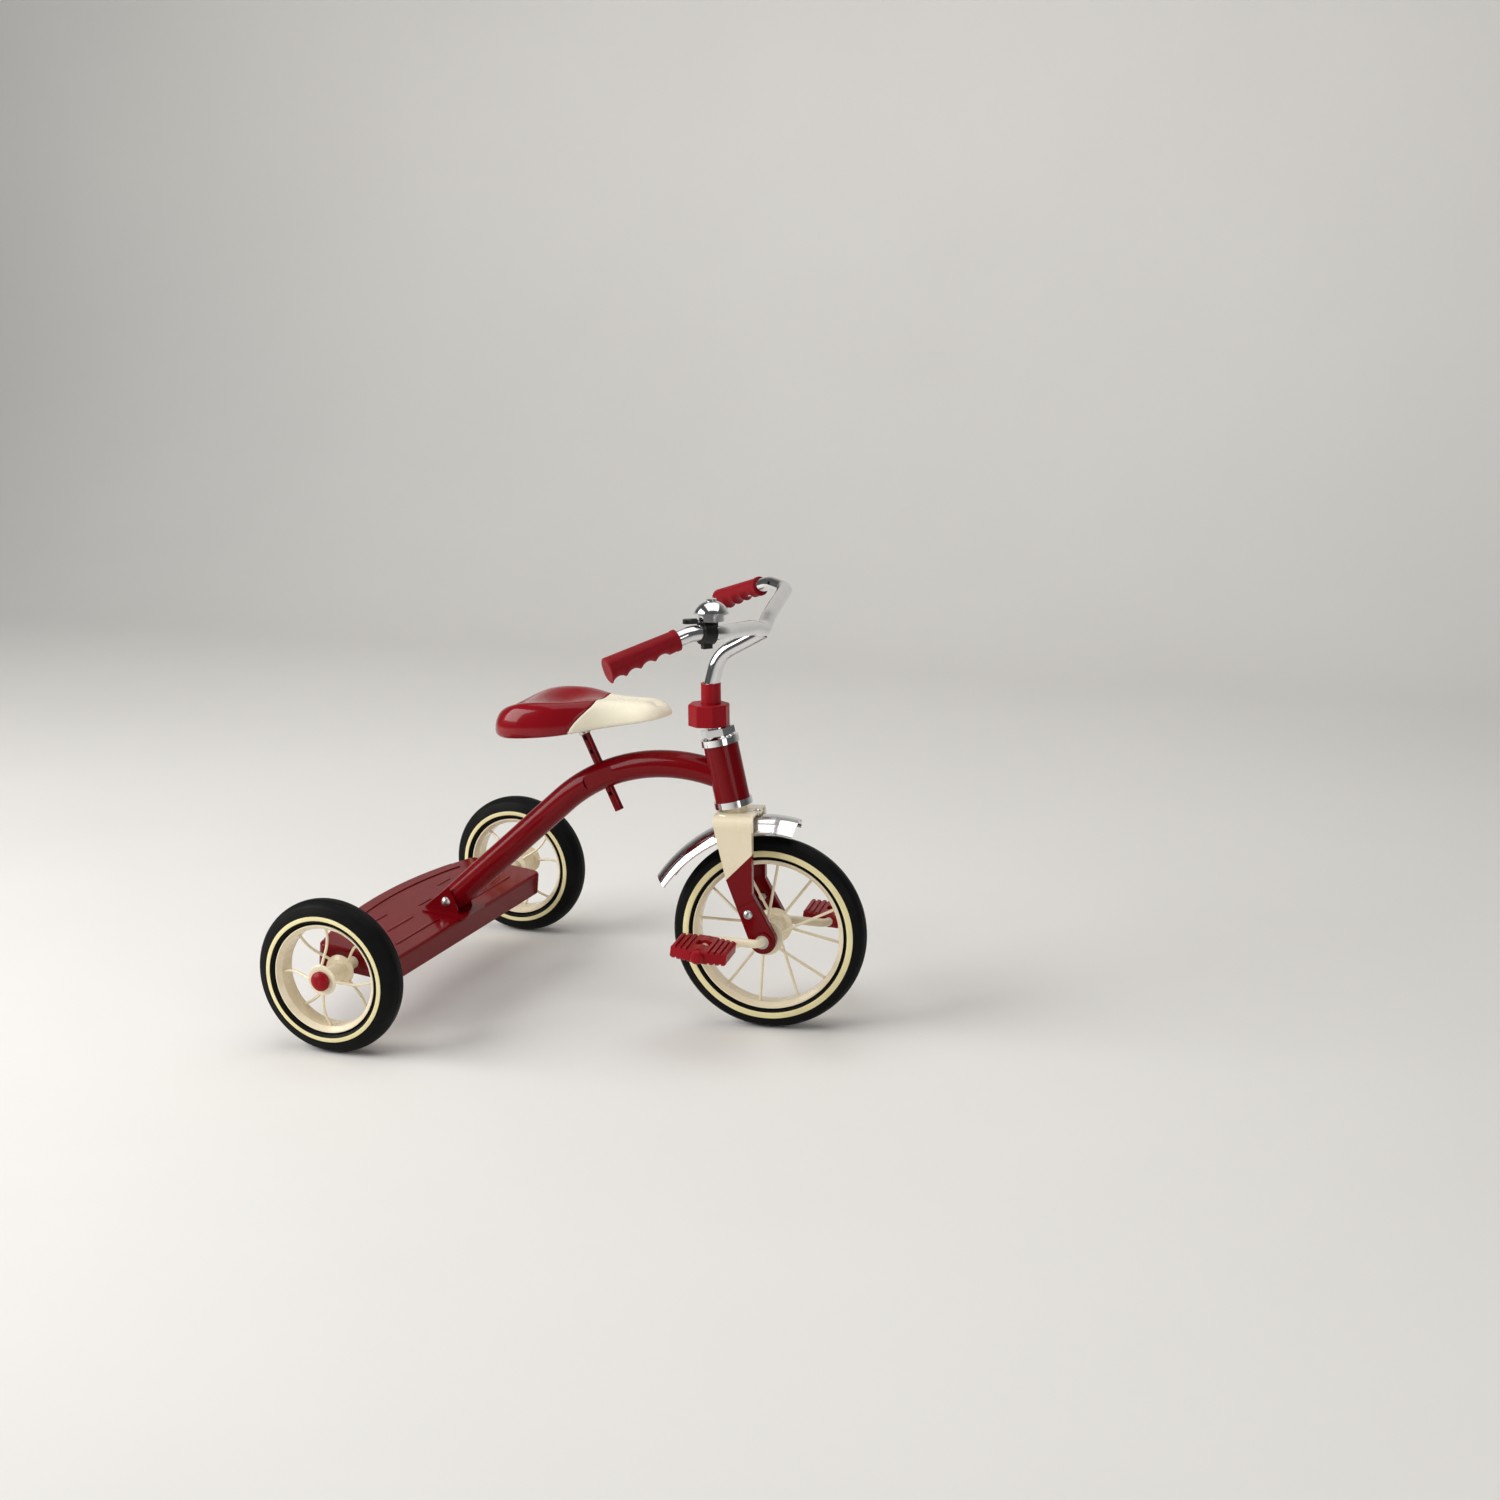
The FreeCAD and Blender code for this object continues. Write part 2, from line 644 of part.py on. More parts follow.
def pedal_caps():
    """Push-on caps that keep the pedals on their spindles."""
    start = PEDAL_Y + PEDAL_HALF_Y + SLIDING_GAP
    cap = Part.makeCylinder(8.5, 3.0, LEFT * start, LEFT)
    for r0, r1, along, height in ((8.5, 6.8, 3.0, 2.4), (6.8, 3.6, 5.4, 1.2)):
        cap = cap.fuse(Part.makeCone(r0, r1, height, LEFT * (start + along), LEFT))
    cap = cap.cut(Part.makeCylinder(CRANK_R, SPINDLE_END - start, LEFT * start, LEFT))
    left, right = cap, mirrored(cap)
    left.translate(spindle_centre(1))
    right.translate(spindle_centre(-1))
    return Part.makeCompound([left, right])


# ---- fork and fender ---------------------------------------------------------------------------
def tangent_point(x, z, side):
    """Where a line from (x, z) touches the leg's round end; side 1 is the front, -1 the back."""
    dx, dz = x - WHEELBASE, z - FRONT_R
    reach = math.hypot(dx, dz)
    angle = math.atan2(dz, dx) - side * math.acos(LEG_END_R / reach)
    return WHEELBASE + LEG_END_R * math.cos(angle), FRONT_R + LEG_END_R * math.sin(angle)


FORK_FRONT_X = 482.5
FORK_BACK_X = 430.5
FORK_KINK_Z = 188.0
FORK_WAIST = (448.6, 205.5)


def fork_outline(y):
    """The fork's side view as a wire at one Y."""
    front = tangent_point(FORK_FRONT_X, FORK_KINK_Z, 1)
    back = tangent_point(*FORK_WAIST, -1)
    corners = [front, (FORK_FRONT_X, FORK_KINK_Z), (FORK_FRONT_X, CROWN_TOP), (FORK_BACK_X, CROWN_TOP),
               (FORK_BACK_X + 1.0, CROWN_TOP - 8.0), FORK_WAIST, back]
    edges = [Part.LineSegment(vec(a[0], y, a[1]), vec(b[0], y, b[1])).toShape()
             for a, b in zip(corners, corners[1:])]
    up = vec(front[0] + back[0] - 2 * WHEELBASE, 0, front[1] + back[1] - 2 * FRONT_R).normalize()
    foot = vec(WHEELBASE, y, FRONT_R) - up * LEG_END_R
    edges.append(Part.Arc(vec(back[0], y, back[1]), foot, vec(front[0], y, front[1])).toShape())
    return Part.Wire(edges)


def fork_blank():
    """An inverted U pressed from sheet, its edges folded in towards the wheel."""
    outer = Part.Face(fork_outline(-LEG_OUT)).extrude(vec(0, 2 * LEG_OUT, 0))
    shoulders = [e for e in outer.Edges if abs(abs(e.CenterOfMass.y) - LEG_OUT) < 1e-3
                 and abs(e.CenterOfMass.z - CROWN_TOP) < 1e-3]
    outer = outer.makeFillet(15.0, shoulders)
    wire = fork_outline(-LEG_IN).makeOffset2D(-FORK_EDGE)
    cavity = Part.Face(wire).extrude(vec(0, 2 * LEG_IN, 0))
    corners = [e for e in cavity.Edges if abs(abs(e.CenterOfMass.y) - LEG_IN) < 1e-3
               and abs(e.CenterOfMass.z - (CROWN_TOP - FORK_EDGE)) < 1e-3]
    cavity = cavity.makeFillet(12.5, corners)
    slot = box(350, 600, -FORK_FLANGE_IN, FORK_FLANGE_IN, 50, CROWN_TOP - FORK_EDGE)
    fork = outer.cut(cavity).cut(slot)
    bore = cross_rod(WHEELBASE, FRONT_R, -60, 60, HUB_BUSH_R)
    bolt_x, bolt_z = RETAINER_BOLT
    return fork.cut(bore).cut(cross_rod(bolt_x, bolt_z, -60, 60, RETAINER_BOLT_R))


RETAINER_BOLT = (477.5, 161.5)
RETAINER_BOLT_R = 2.5
RETAINER_FACE = 49.6
BOSS_FACE = 53.0


def leg_region():
    """The space of both legs, below the slanted line where the crown's paint ends."""
    x, z = FORK_WAIST
    rise = FORK_FRONT_X + 1 - x
    return polygon_xz([(x - 40, z - 40), (x + rise, z + rise), (x + 120, z + rise), (x + 120, 60), (x - 40, 60)],
                      -60, 60)


def fork_parts():
    """The crown with its fender tab and the two legs, split along the slanted seam."""
    blank = fork_blank()
    region = leg_region()
    crown = blank.cut(region)
    tab = box(FORK_FRONT_X - 6, FORK_FRONT_X + 4, -8, 8, CROWN_TOP - FORK_EDGE, CROWN_TOP)
    race = head_ring(-22, -CUP_LIP - SLIDING_GAP, 17.0, STEERER_R)
    race = race.common(box(400, 500, -40, 40, CROWN_TOP - 0.5, 400))
    crown = crown.fuse(tab).fuse(race)
    crown = crown.cut(rod(head_point(-60), head_point(40), STEERER_R))
    crown = crown.cut(rod(FENDER_SCREW_FOOT, FENDER_SCREW_FOOT + UP * 30, FENDER_SCREW_R))
    legs = blank.common(region).Solids
    left = max(legs, key=lambda s: s.CenterOfMass.y)
    right = min(legs, key=lambda s: s.CenterOfMass.y)
    return crown.removeSplitter(), left, right


def axle_retainer(side):
    """The strap outside a leg that holds the crank axle's bush, with a round boss at its foot."""
    bx, bz = RETAINER_BOLT
    y0, y1 = sorted((side * LEG_OUT, side * RETAINER_FACE))
    leg = Part.Face(fork_outline(y0).makeOffset2D(-0.8)).extrude(vec(0, y1 - y0, 0))
    below = polygon_xz([(440, 155.3), (463.4, 168.8), (479.3, 177.5), (520, 200.0), (520, 90), (440, 90)], y0, y1)
    b0, b1 = sorted((side * LEG_OUT, side * BOSS_FACE))
    strap = leg.common(below).fuse(cross_rod(WHEELBASE, FRONT_R, b0, b1, 12.0))
    strap = strap.cut(cross_rod(WHEELBASE, FRONT_R, -80, 80, HUB_BUSH_R))
    return strap.cut(cross_rod(bx, bz, -80, 80, RETAINER_BOLT_R)).removeSplitter()


def axle_retainers():
    return Part.makeCompound([axle_retainer(-1), axle_retainer(1)])


def retainer_bolts():
    """A dome-head bolt and nut on each leg."""
    bx, bz = RETAINER_BOLT
    pieces = []
    for side in (-1, 1):
        shank = cross_rod(bx, bz, *sorted((side * (LEG_IN - 6), side * RETAINER_FACE)), RETAINER_BOLT_R)
        head = dome_bolt_head(vec(bx, side * RETAINER_FACE, bz), LEFT * side, 6.2, 3.6)
        nut = hex_prism(vec(bx, side * LEG_IN, bz), LEFT * -side, 9.0, 4.0)
        nut = nut.cut(cross_rod(bx, bz, -80, 80, RETAINER_BOLT_R))
        pieces += [shank.fuse(head), nut]
    return Part.makeCompound(pieces)


def front_bushes():
    """Nylon bushes in the fork ends for the crank axle."""
    bush = cross_ring(WHEELBASE, FRONT_R, LEG_IN - 4.0, BOSS_FACE - 0.5, HUB_BUSH_R, CRANK_R + RUNNING_GAP)
    return both_sides(bush)


FENDER_SCREW_R = 2.0
FENDER_SCREW_FOOT = vec(481.0, 0, 276.0)


def fender_section():
    """A C-shaped shell section with a rolled bead on each edge, as (offset along Y, radius) wires."""
    sag = FENDER_R - FENDER_EDGE_R
    bow = (FENDER_HALF ** 2 + sag ** 2) / (2 * sag)
    reach = math.asin(FENDER_HALF / bow)

    def on(radius, angle):
        return vec(WHEELBASE, radius * math.sin(angle), FRONT_R + FENDER_R - bow + radius * math.cos(angle))

    inner = bow - FENDER_SHEET
    wire = Part.Wire([
        Part.Arc(on(bow, -reach), on(bow, 0), on(bow, reach)).toShape(),
        Part.LineSegment(on(bow, reach), on(inner, reach)).toShape(),
        Part.Arc(on(inner, reach), on(inner, 0), on(inner, -reach)).toShape(),
        Part.LineSegment(on(inner, -reach), on(bow, -reach)).toShape(),
    ])
    return wire, [on(bow - FENDER_SHEET / 2, side * reach) for side in (-1, 1)]


FENDER_BEAD_R = 1.7


def fender():
    """The mudguard over the front wheel: one arc round the wheel and a flatter tail behind."""
    wire, edges = fender_section()
    beads = [Part.Wire([Part.makeCircle(FENDER_BEAD_R, at, FORWARD)]) for at in edges]
    turn = math.radians(FENDER_TURN)
    tail_centre = FRONT_CENTRE + vec(math.cos(turn), 0, math.sin(turn)) * (FENDER_R - FENDER_TAIL_R)
    shells = []
    for outline in [wire] + beads:
        front = Part.Face(outline).revolve(FRONT_CENTRE, LEFT, FENDER_FRONT - FENDER_TURN)
        front.rotate(FRONT_CENTRE, LEFT, 90 - FENDER_FRONT)
        start = Part.Face(outline)
        start.rotate(FRONT_CENTRE, LEFT, 90 - FENDER_TURN)
        shells += [front, start.revolve(tail_centre, LEFT, -FENDER_TAIL)]
    shell = shells[0].multiFuse(shells[1:])
    shell = shell.cut(rod(FENDER_SCREW_FOOT - UP * 20, FENDER_SCREW_FOOT + UP * 30, FENDER_SCREW_R))
    return shell.removeSplitter()


def fender_screw():
    """Holds the fender under the crown's front tab, with a spacer between them."""
    top = vec(FENDER_SCREW_FOOT.x, 0, CROWN_TOP)
    shank = rod(FENDER_SCREW_FOOT, top, FENDER_SCREW_R)
    head = dome_bolt_head(top, UP, 4.2, 3.0)
    return shank.fuse(head)


# ---- steering column and handlebar -------------------------------------------------------------
STEERER_TOP = 99.0


def steerer_tube():
    tube = pipe(head_point(-60), head_point(STEERER_TOP), STEERER_R, STEERER_BORE)
    return tube.common(box(300, 600, -60, 60, CROWN_TOP - FORK_EDGE, 600))


LOCKNUT_FOOT = HEAD_LENGTH + CUP_LIP + SLIDING_GAP


def locknut():
    """A hexagonal nut on a round cone."""
    nut = hex_prism(head_point(LOCKNUT_FOOT + 3.2), HEAD_AXIS, 39.0, 9.0)
    cone = Part.makeCone(22.0, 18.5, 3.2, head_point(LOCKNUT_FOOT), HEAD_AXIS)
    return nut.fuse(cone).cut(rod(head_point(60), head_point(120), STEERER_R))


STEM_FOOT_S = 62.0
STEM_KNEE = vec(419.3, 0, 440.0)
STEM_ELBOW = vec(432.0, 0, 488.0)


def stem_points():
    return [head_point(STEM_FOOT_S), STEM_KNEE, STEM_ELBOW, vec(*STEM_TOP)], [40.0, 40.0]


def bar_points():
    left = [vec(*p) for p in BAR_POINTS] + [vec(*BAR_END)]
    right = [vec(p.x, -p.y, p.z) for p in left[1:]]
    bends = BAR_BENDS[1:][::-1] + BAR_BENDS
    return right[::-1] + left, bends


BAR_HOLE_R = 2.6


def handlebar_bar():
    """The bar, with one small hole in its left bend."""
    points, bends = bar_points()
    ends = (points[1] - points[0]).normalize() * GRIP_END_WALL
    points = [points[0] + ends] + points[1:-1] + [points[-1] + vec(ends.x, -ends.y, ends.z)]
    bar = swept_tube(points, bends, BAR_R, BAR_R - BAR_WALL)
    knee = vec(*BAR_POINTS[3])
    mouth = knee + vec(7.0, -7.0, -0.5)
    return bar.cut(rod(mouth, mouth + vec(-9.0, -12.0, 3.0), BAR_HOLE_R))


def bar_envelope():
    """The space that the bar takes up, for cutting the parts that fit round it."""
    points, bends = bar_points()
    return swept_rod(bent_path(points, bends), points[0], points[1] - points[0], BAR_R)


def handlebar_stem():
    """A bent tube from inside the steerer up to the bar, coped to fit round it."""
    points, bends = stem_points()
    tube = swept_tube(points, bends, STEM_R, STEM_R - BAR_WALL)
    tube = tube.cut(bar_envelope())
    tube = max(tube.Solids, key=lambda s: s.Volume)
    return tube.cut(stem_bolt_bore())


STEM_BOLT_S = 104.0
STEM_BOLT_R = 2.5


def stem_bolt_bore():
    at = head_point(STEM_BOLT_S)
    return rod(at - LEFT * 40, at + LEFT * 40, STEM_BOLT_R)


def stem_bolt():
    """A cross bolt through the stem, inside the cover."""
    at = head_point(STEM_BOLT_S)
    shank = rod(at - LEFT * 15, at + LEFT * 18, STEM_BOLT_R)
    head = hex_prism(at - LEFT * 15, LEFT * -1, 8.0, 4.0)
    nut = hex_prism(at + LEFT * 12, LEFT, 8.0, 4.0).cut(rod(at, at + LEFT * 30, STEM_BOLT_R))
    return Part.makeCompound([shank.fuse(head), nut])


COVER_X = 419.5
COVER_FOOT_Z = 397.5
COVER_BLOCK_Z = 425.5
COVER_TOP_Z = 452.0
COVER_FLATS = 50.0
COVER_NECK_R = 12.8
COVER_WALL = 2.5


def octagon(x, flats, z0, z1):
    corner = flats / 2 / math.cos(math.radians(22.5))
    points = [vec(x + corner * math.cos(math.radians(22.5 + 45 * k)),
                  corner * math.sin(math.radians(22.5 + 45 * k)), z0) for k in range(9)]
    return Part.Face(Part.makePolygon(points)).extrude(vec(0, 0, z1 - z0))


def stem_cover():
    """The plastic cover over the stem's joint: an eight-sided block with a round neck."""
    block = octagon(COVER_X - 1.5, COVER_FLATS, COVER_FOOT_Z, COVER_BLOCK_Z)
    tall = [e for e in block.Edges if e.BoundBox.ZLength > 20]
    top = [e for e in block.Edges if abs(e.BoundBox.ZMin - COVER_BLOCK_Z) < 1e-6]
    block = block.makeFillet(2.4, tall + top)
    hollow = octagon(COVER_X - 1.5, COVER_FLATS - 2 * COVER_WALL, COVER_FOOT_Z - 1, COVER_BLOCK_Z - COVER_WALL)
    neck = rod(vec(COVER_X + 1.5, 0, COVER_BLOCK_Z - 1), vec(COVER_X + 1.5, 0, COVER_TOP_Z), COVER_NECK_R)
    cover = block.cut(hollow).fuse(neck)
    points, bends = stem_points()
    solid_stem = swept_rod(bent_path(points, bends), points[0], points[1] - points[0], STEM_R)
    cover = cover.cut(solid_stem)
    return max(cover.removeSplitter().Solids, key=lambda s: s.Volume)


def grip(side):
    """A soft grip that widens towards its closed outer end."""
    end = vec(BAR_END[0], side * BAR_END[1], BAR_END[2])
    knee = vec(BAR_POINTS[3][0], side * BAR_POINTS[3][1], BAR_POINTS[3][2])
    out = (end - knee).normalize()
    start = end - out * GRIP_LENGTH
    cone = Part.makeCone(GRIP_IN_R, GRIP_OUT_R, GRIP_LENGTH, start, out)
    bore = Part.makeCylinder(BAR_R, GRIP_LENGTH - GRIP_END_WALL, start, out)
    return cone.cut(bore)


# ---- bell --------------------------------------------------------------------------------------
BELL_SIDE = -1.0
BELL_T = 0.5                              # where the clamp sits, between the bar's last two bends
BELL_CLAMP_R = 13.5
BELL_CLAMP_HALF = 8.0
BELL_X = 470.5
BELL_Y = -203.0
BELL_FOOT_Z = 563.6
BELL_BASE_R = 15.5
BELL_RIM_Z = 572.0
BELL_R = 21.0
BELL_TOP_Z = 590.0


def clamp_centre():
    a, b = (vec(p[0], BELL_SIDE * p[1], p[2]) for p in BAR_POINTS[2:4])
    return a + (b - a) * BELL_T, (b - a).normalize()


def bell_clamp():
    """A black band round the bar with a post under the bell and a pinch lug below."""
    at, along = clamp_centre()
    band = Part.makeCylinder(BELL_CLAMP_R, 2 * BELL_CLAMP_HALF, at - along * BELL_CLAMP_HALF, along)
    post = rod(vec(BELL_X, BELL_Y, at.z), vec(BELL_X, BELL_Y, BELL_FOOT_Z), 8.0)
    lug = Part.makeBox(12, 7, 20, vec(-6, -3.5, -BELL_CLAMP_R - 5))
    heading = math.degrees(math.atan2(along.y, along.x))
    lug.Placement = FreeCAD.Placement(at, FreeCAD.Rotation(UP, heading))
    lever_ears = lever_frame(Part.makeBox(4.0, 7.0, 11.0, vec(-2.0, -3.5, -7.0)))
    body = band.fuse(post).fuse(lug).fuse(lever_ears)
    body = body.cut(bar_envelope())
    body = body.cut(lever_bore())
    return max(body.removeSplitter().Solids, key=lambda s: s.Volume)


LEVER_Z = 564.4
LEVER_PIN_R = 1.5
LEVER_REACH = 9.0
LEVER_HEADING = 203.0


def lever_pivot():
    at, along = clamp_centre()
    heading = math.radians(LEVER_HEADING)
    return vec(at.x + 13.5 * math.cos(heading), at.y + 13.5 * math.sin(heading), LEVER_Z)


def lever_frame(shape):
    """Places a shape drawn at the origin, X towards the lever's tip, at the lever's pivot."""
    shape.Placement = FreeCAD.Placement(lever_pivot(), FreeCAD.Rotation(UP, LEVER_HEADING))
    return shape


def lever_bore():
    return lever_frame(Part.makeCylinder(LEVER_PIN_R + RUNNING_GAP, 30, vec(0, -15, 0), LEFT))


def bell_lever():
    """The thumb lever: two cheeks on a pin, joined by a paddle."""
    cheeks = [Part.makeBox(LEVER_REACH + 3, 2.2, 5.0, vec(-3.0, y, -2.5)) for y in (3.8, -6.0)]
    paddle = Part.makeBox(LEVER_REACH - 4.4, 12.0, 5.0, vec(4.4, -6.0, -2.5))
    tongue = Part.makeCylinder(6.0, 5.0, vec(LEVER_REACH, 0, -2.5), UP)
    tongue = tongue.common(Part.makeBox(20, 20, 20, vec(4.4, -10, -10)))
    pin = Part.makeCylinder(LEVER_PIN_R, 12.0, vec(0, -6.0, 0), LEFT)
    lever = cheeks[0].multiFuse([cheeks[1], paddle, tongue, pin]).removeSplitter()
    return lever_frame(lever)


def bell_base():
    """The bell's lower shell, which stands on the clamp's post."""
    foot = vec(BELL_X, BELL_Y, BELL_FOOT_Z)
    drum = Part.makeCylinder(BELL_BASE_R, BELL_RIM_Z - BELL_FOOT_Z, foot, UP)
    stud = Part.makeCylinder(3.0, BELL_TOP_Z - BELL_FOOT_Z - 4, foot, UP)
    return drum.fuse(stud).removeSplitter()


def bell_dome():
    """The ringing dome: a thin shell with a flared lip and a boss on top."""
    height = BELL_TOP_Z - BELL_RIM_Z - 2.0
    ball = (BELL_R ** 2 + height ** 2) / (2 * height)
    centre = vec(BELL_X, BELL_Y, BELL_RIM_Z + height - ball)
    above = Part.makeBox(80, 80, 60, vec(BELL_X - 40, BELL_Y - 40, BELL_RIM_Z + SLIDING_GAP))
    shell = Part.makeSphere(ball, centre).common(above).cut(Part.makeSphere(ball - 1.4, centre))
    lip = Part.makeCylinder(BELL_R, 2.0, vec(BELL_X, BELL_Y, BELL_RIM_Z + SLIDING_GAP), UP)
    lip = lip.cut(Part.makeCylinder(BELL_R - 2.2, 4.0, vec(BELL_X, BELL_Y, BELL_RIM_Z), UP))
    boss = Part.makeCylinder(6.0, 4.0, vec(BELL_X, BELL_Y, BELL_TOP_Z - 4), UP)
    dome = shell.fuse(lip).fuse(boss)
    stud = Part.makeCylinder(3.0, BELL_TOP_Z - BELL_FOOT_Z - 4, vec(BELL_X, BELL_Y, BELL_FOOT_Z), UP)
    return max(dome.cut(stud).removeSplitter().Solids, key=lambda s: s.Volume)


# ---- seat --------------------------------------------------------------------------------------
SADDLE_REAR = 125.0
SADDLE_NOSE = 364.0
SADDLE_SECTIONS = [126.0, 129.0, 135.0, 145.0, 160.0, 180.0, 202.0, 222.0, 240.0, 256.0, 272.0, 290.0, 312.0,
                   334.0, 348.0, 357.0, 362.0]
SADDLE_WALL = 3.5
SEAM_FOOT = (217.6, 340.0)                # X and Z of two points on the seam's plane
SEAM_TOP = (281.6, 440.0)
SADDLE_BOSS = (222.0, 274.0, 24.0)        # from X, to X, half width
BRACKET_TOP_Z = 393.0
SEAT_PLATE = 2.5


def rounded_section(x, half, z0, z1, r):
    """A box section across the seat with rounded upper corners."""
    r = min(r, half * 0.6, (z1 - z0) * 0.6)
    k = r * (1 - math.sqrt(0.5))
    return Part.Wire([
        Part.LineSegment(vec(x, -half, z0), vec(x, half, z0)).toShape(),
        Part.LineSegment(vec(x, half, z0), vec(x, half, z1 - r)).toShape(),
        Part.Arc(vec(x, half, z1 - r), vec(x, half - k, z1 - k), vec(x, half - r, z1)).toShape(),
        Part.LineSegment(vec(x, half - r, z1), vec(x, -half + r, z1)).toShape(),
        Part.Arc(vec(x, -half + r, z1), vec(x, -half + k, z1 - k), vec(x, -half, z1 - r)).toShape(),
        Part.LineSegment(vec(x, -half, z1 - r), vec(x, -half, z0)).toShape(),
    ])


def saddle_half(x):
    """Half width: a broad seat that narrows to a nose, rounded at both ends."""
    body = 28.5 + 44.6 / (1 + math.exp((x - 256.0) / 17.8))
    rear = min(1.0, max(0.0, SADDLE_REAR + 62 - x) / 62)
    nose = min(1.0, max(0.0, x - SADDLE_NOSE + 35) / 35)
    return body * (1 - rear ** 2.6) ** (1 / 2.6) * (1 - nose ** 2.2) ** (1 / 2.2)


def saddle_bottom(x):
    step = (x - 200) / 100
    return 380.0 + 9.7 * step + 3.6 * step * step


def saddle_top(x):
    """The rim's height, which drops at the rear and a little at the nose."""
    rear = 21.8 * (max(0.0, 300 - x) / 180) ** 6.6
    nose = 7.0 * (max(0.0, x - 345) / 19) ** 2
    return 424.5 - rear - nose


def saddle_solid():
    stations = [(x, saddle_half(x), saddle_bottom(x), saddle_top(x)) for x in SADDLE_SECTIONS]
    outer = Part.makeLoft([rounded_section(x, w, a, b, 11.0) for x, w, a, b in stations], True, True)
    inside = stations[2:-2]
    wall = SADDLE_WALL
    core = Part.makeLoft([rounded_section(x, w - wall, a - 12, b - wall, 8.0) for x, w, a, b in inside],
                         True, True)
    x0, x1, half = SADDLE_BOSS
    core = core.cut(box(x0, x1, -half, half, BRACKET_TOP_Z, 440))
    return outer.cut(core)


def saddle_halves():
    """The red rear shell and the cream nose, parted along a slanted seam."""
    whole = saddle_solid()
    rear_space = polygon_xz([(50, 340), SEAM_FOOT, SEAM_TOP, (50, 440)], -100, 100)
    rear = whole.common(rear_space)
    nose = whole.cut(rear_space)
    holes = seat_bolt_bores()
    return rear.cut(holes), nose.cut(holes)


SEAT_BOLTS = [(232.0, -14.0), (232.0, 14.0), (265.0, 0.0)]
SEAT_BOLT_R = 2.2


def seat_bolt_bores():
    holes = [Part.makeCylinder(SEAT_BOLT_R, 60, vec(x, y, 372), UP).common(
        box(200, 300, -50, 50, 372, BRACKET_TOP_Z + 9)) for x, y in SEAT_BOLTS]
    return Part.makeCompound(holes)


def seat_bracket():
    """A steel plate under the saddle with a socket for the post."""
    plate = box(222, 274, -22, 22, BRACKET_TOP_Z - SEAT_PLATE, BRACKET_TOP_Z)
    socket = rod(post_point(3), post_point(-16), POST_R + 2.2)
    socket = socket.common(box(180, 300, -40, 40, 300, BRACKET_TOP_Z - SEAT_PLATE))
    bracket = plate.fuse(socket).cut(rod(post_point(-14), post_point(40), POST_R))
    return bracket.cut(seat_bolt_bores()).removeSplitter()


def seat_bolts():
    pieces = []
    for x, y in SEAT_BOLTS:
        foot = BRACKET_TOP_Z - SEAT_PLATE
        shank = rod(vec(x, y, foot), vec(x, y, BRACKET_TOP_Z + 9), SEAT_BOLT_R)
        head = hex_prism(vec(x, y, foot), UP * -1, 7.5, 3.2)
        pieces.append(shank.fuse(head))
    return Part.makeCompound(pieces)


POST_HOLE_PITCH = 20.0
POST_HOLE_R = 2.9


def seat_post():
    """A tube with a row of cross holes for setting the seat's height."""
    post = pipe(post_point(-14), post_point(112.8), POST_R, POST_R - 1.5)
    for k in range(5):
        at = post_point(8.0 + POST_HOLE_PITCH * k)
        post = post.cut(rod(at - LEFT * 20, at + LEFT * 20, POST_HOLE_R))
    return post


# ---- assembly ----------------------------------------------------------------------------------
def frame_nodes():
    return {
        "backbone_tube": backbone_tube(),
        "head_tube": head_tube(),
        "lower_headset_cup": lower_headset_cup(),
        "upper_headset_cup": upper_headset_cup(),
        "headset_bushes": headset_bushes(),
        "rear_deck": rear_deck(),
        "deck_bracket": deck_bracket(),
        "frame_bolt": frame_bolt(),
        "seat_post_screw": seat_post_screw(),
        "rear_axle": rear_axle(),
        "axle_spacers": axle_spacers(),
        "axle_caps": axle_caps(),
    }


def rear_wheel_nodes():
    nodes = {}
    for name, side in (("left", 1), ("right", -1)):
        for piece, shape in rear_wheel(side).items():
            nodes[f"{name}_rear_{piece}"] = shape
    return nodes


def seat_nodes():
    rear, nose = saddle_halves()
    return {
        "seat_post": seat_post(),
        "seat_bracket": seat_bracket(),
        "seat_bolts": seat_bolts(),
        "saddle_rear": rear,
        "saddle_nose": nose,
    }


def steering_nodes():
    crown, left_leg, right_leg = fork_parts()
    nodes = {
        "fork_crown": crown,
        "fork_leg_left": left_leg,
        "fork_leg_right": right_leg,
        "axle_retainers": axle_retainers(),
        "retainer_bolts": retainer_bolts(),
        "front_axle_bushes": front_bushes(),
        "front_fender": fender(),
        "fender_screw": fender_screw(),
        "steerer_tube": steerer_tube(),
        "headset_locknut": locknut(),
        "stem_cover": stem_cover(),
        "stem_bolt": stem_bolt(),
        "handlebar_stem": handlebar_stem(),
        "handlebar_bar": handlebar_bar(),
        "grip_left": grip(1),
        "grip_right": grip(-1),
        "bell_clamp": bell_clamp(),
        "bell_base": bell_base(),
        "bell_dome": bell_dome(),
        "bell_lever": bell_lever(),
        "crank_axle": crank_axle(),
        "pedal_left": pedal(1),
        "pedal_right": pedal(-1),
        "pedal_caps": pedal_caps(),
    }
    nodes.update(front_wheel())
    return nodes


def write(nodes, turn):
    """Turns the steering parts, moves everything to the part's origin and writes one STEP each."""
    for name, shape in nodes.items():
        placed = shape.copy()
        if turn:
            placed.rotate(head_point(0), HEAD_AXIS, turn)
        placed.translate(vec(REAR_AXLE_X, 0, 0))
        if not placed.isValid():
            print("not valid:", name)
        print(f"{name:22s} solids {len(placed.Solids):3d}  volume {placed.Volume / 1000:9.2f} cm3")
        placed.exportStep(f"parts/{name}.step")


def main():
    os.makedirs("parts", exist_ok=True)
    write(frame_nodes(), 0.0)
    write(rear_wheel_nodes(), 0.0)
    write(seat_nodes(), 0.0)
    write(steering_nodes(), STEER_REST)


main()
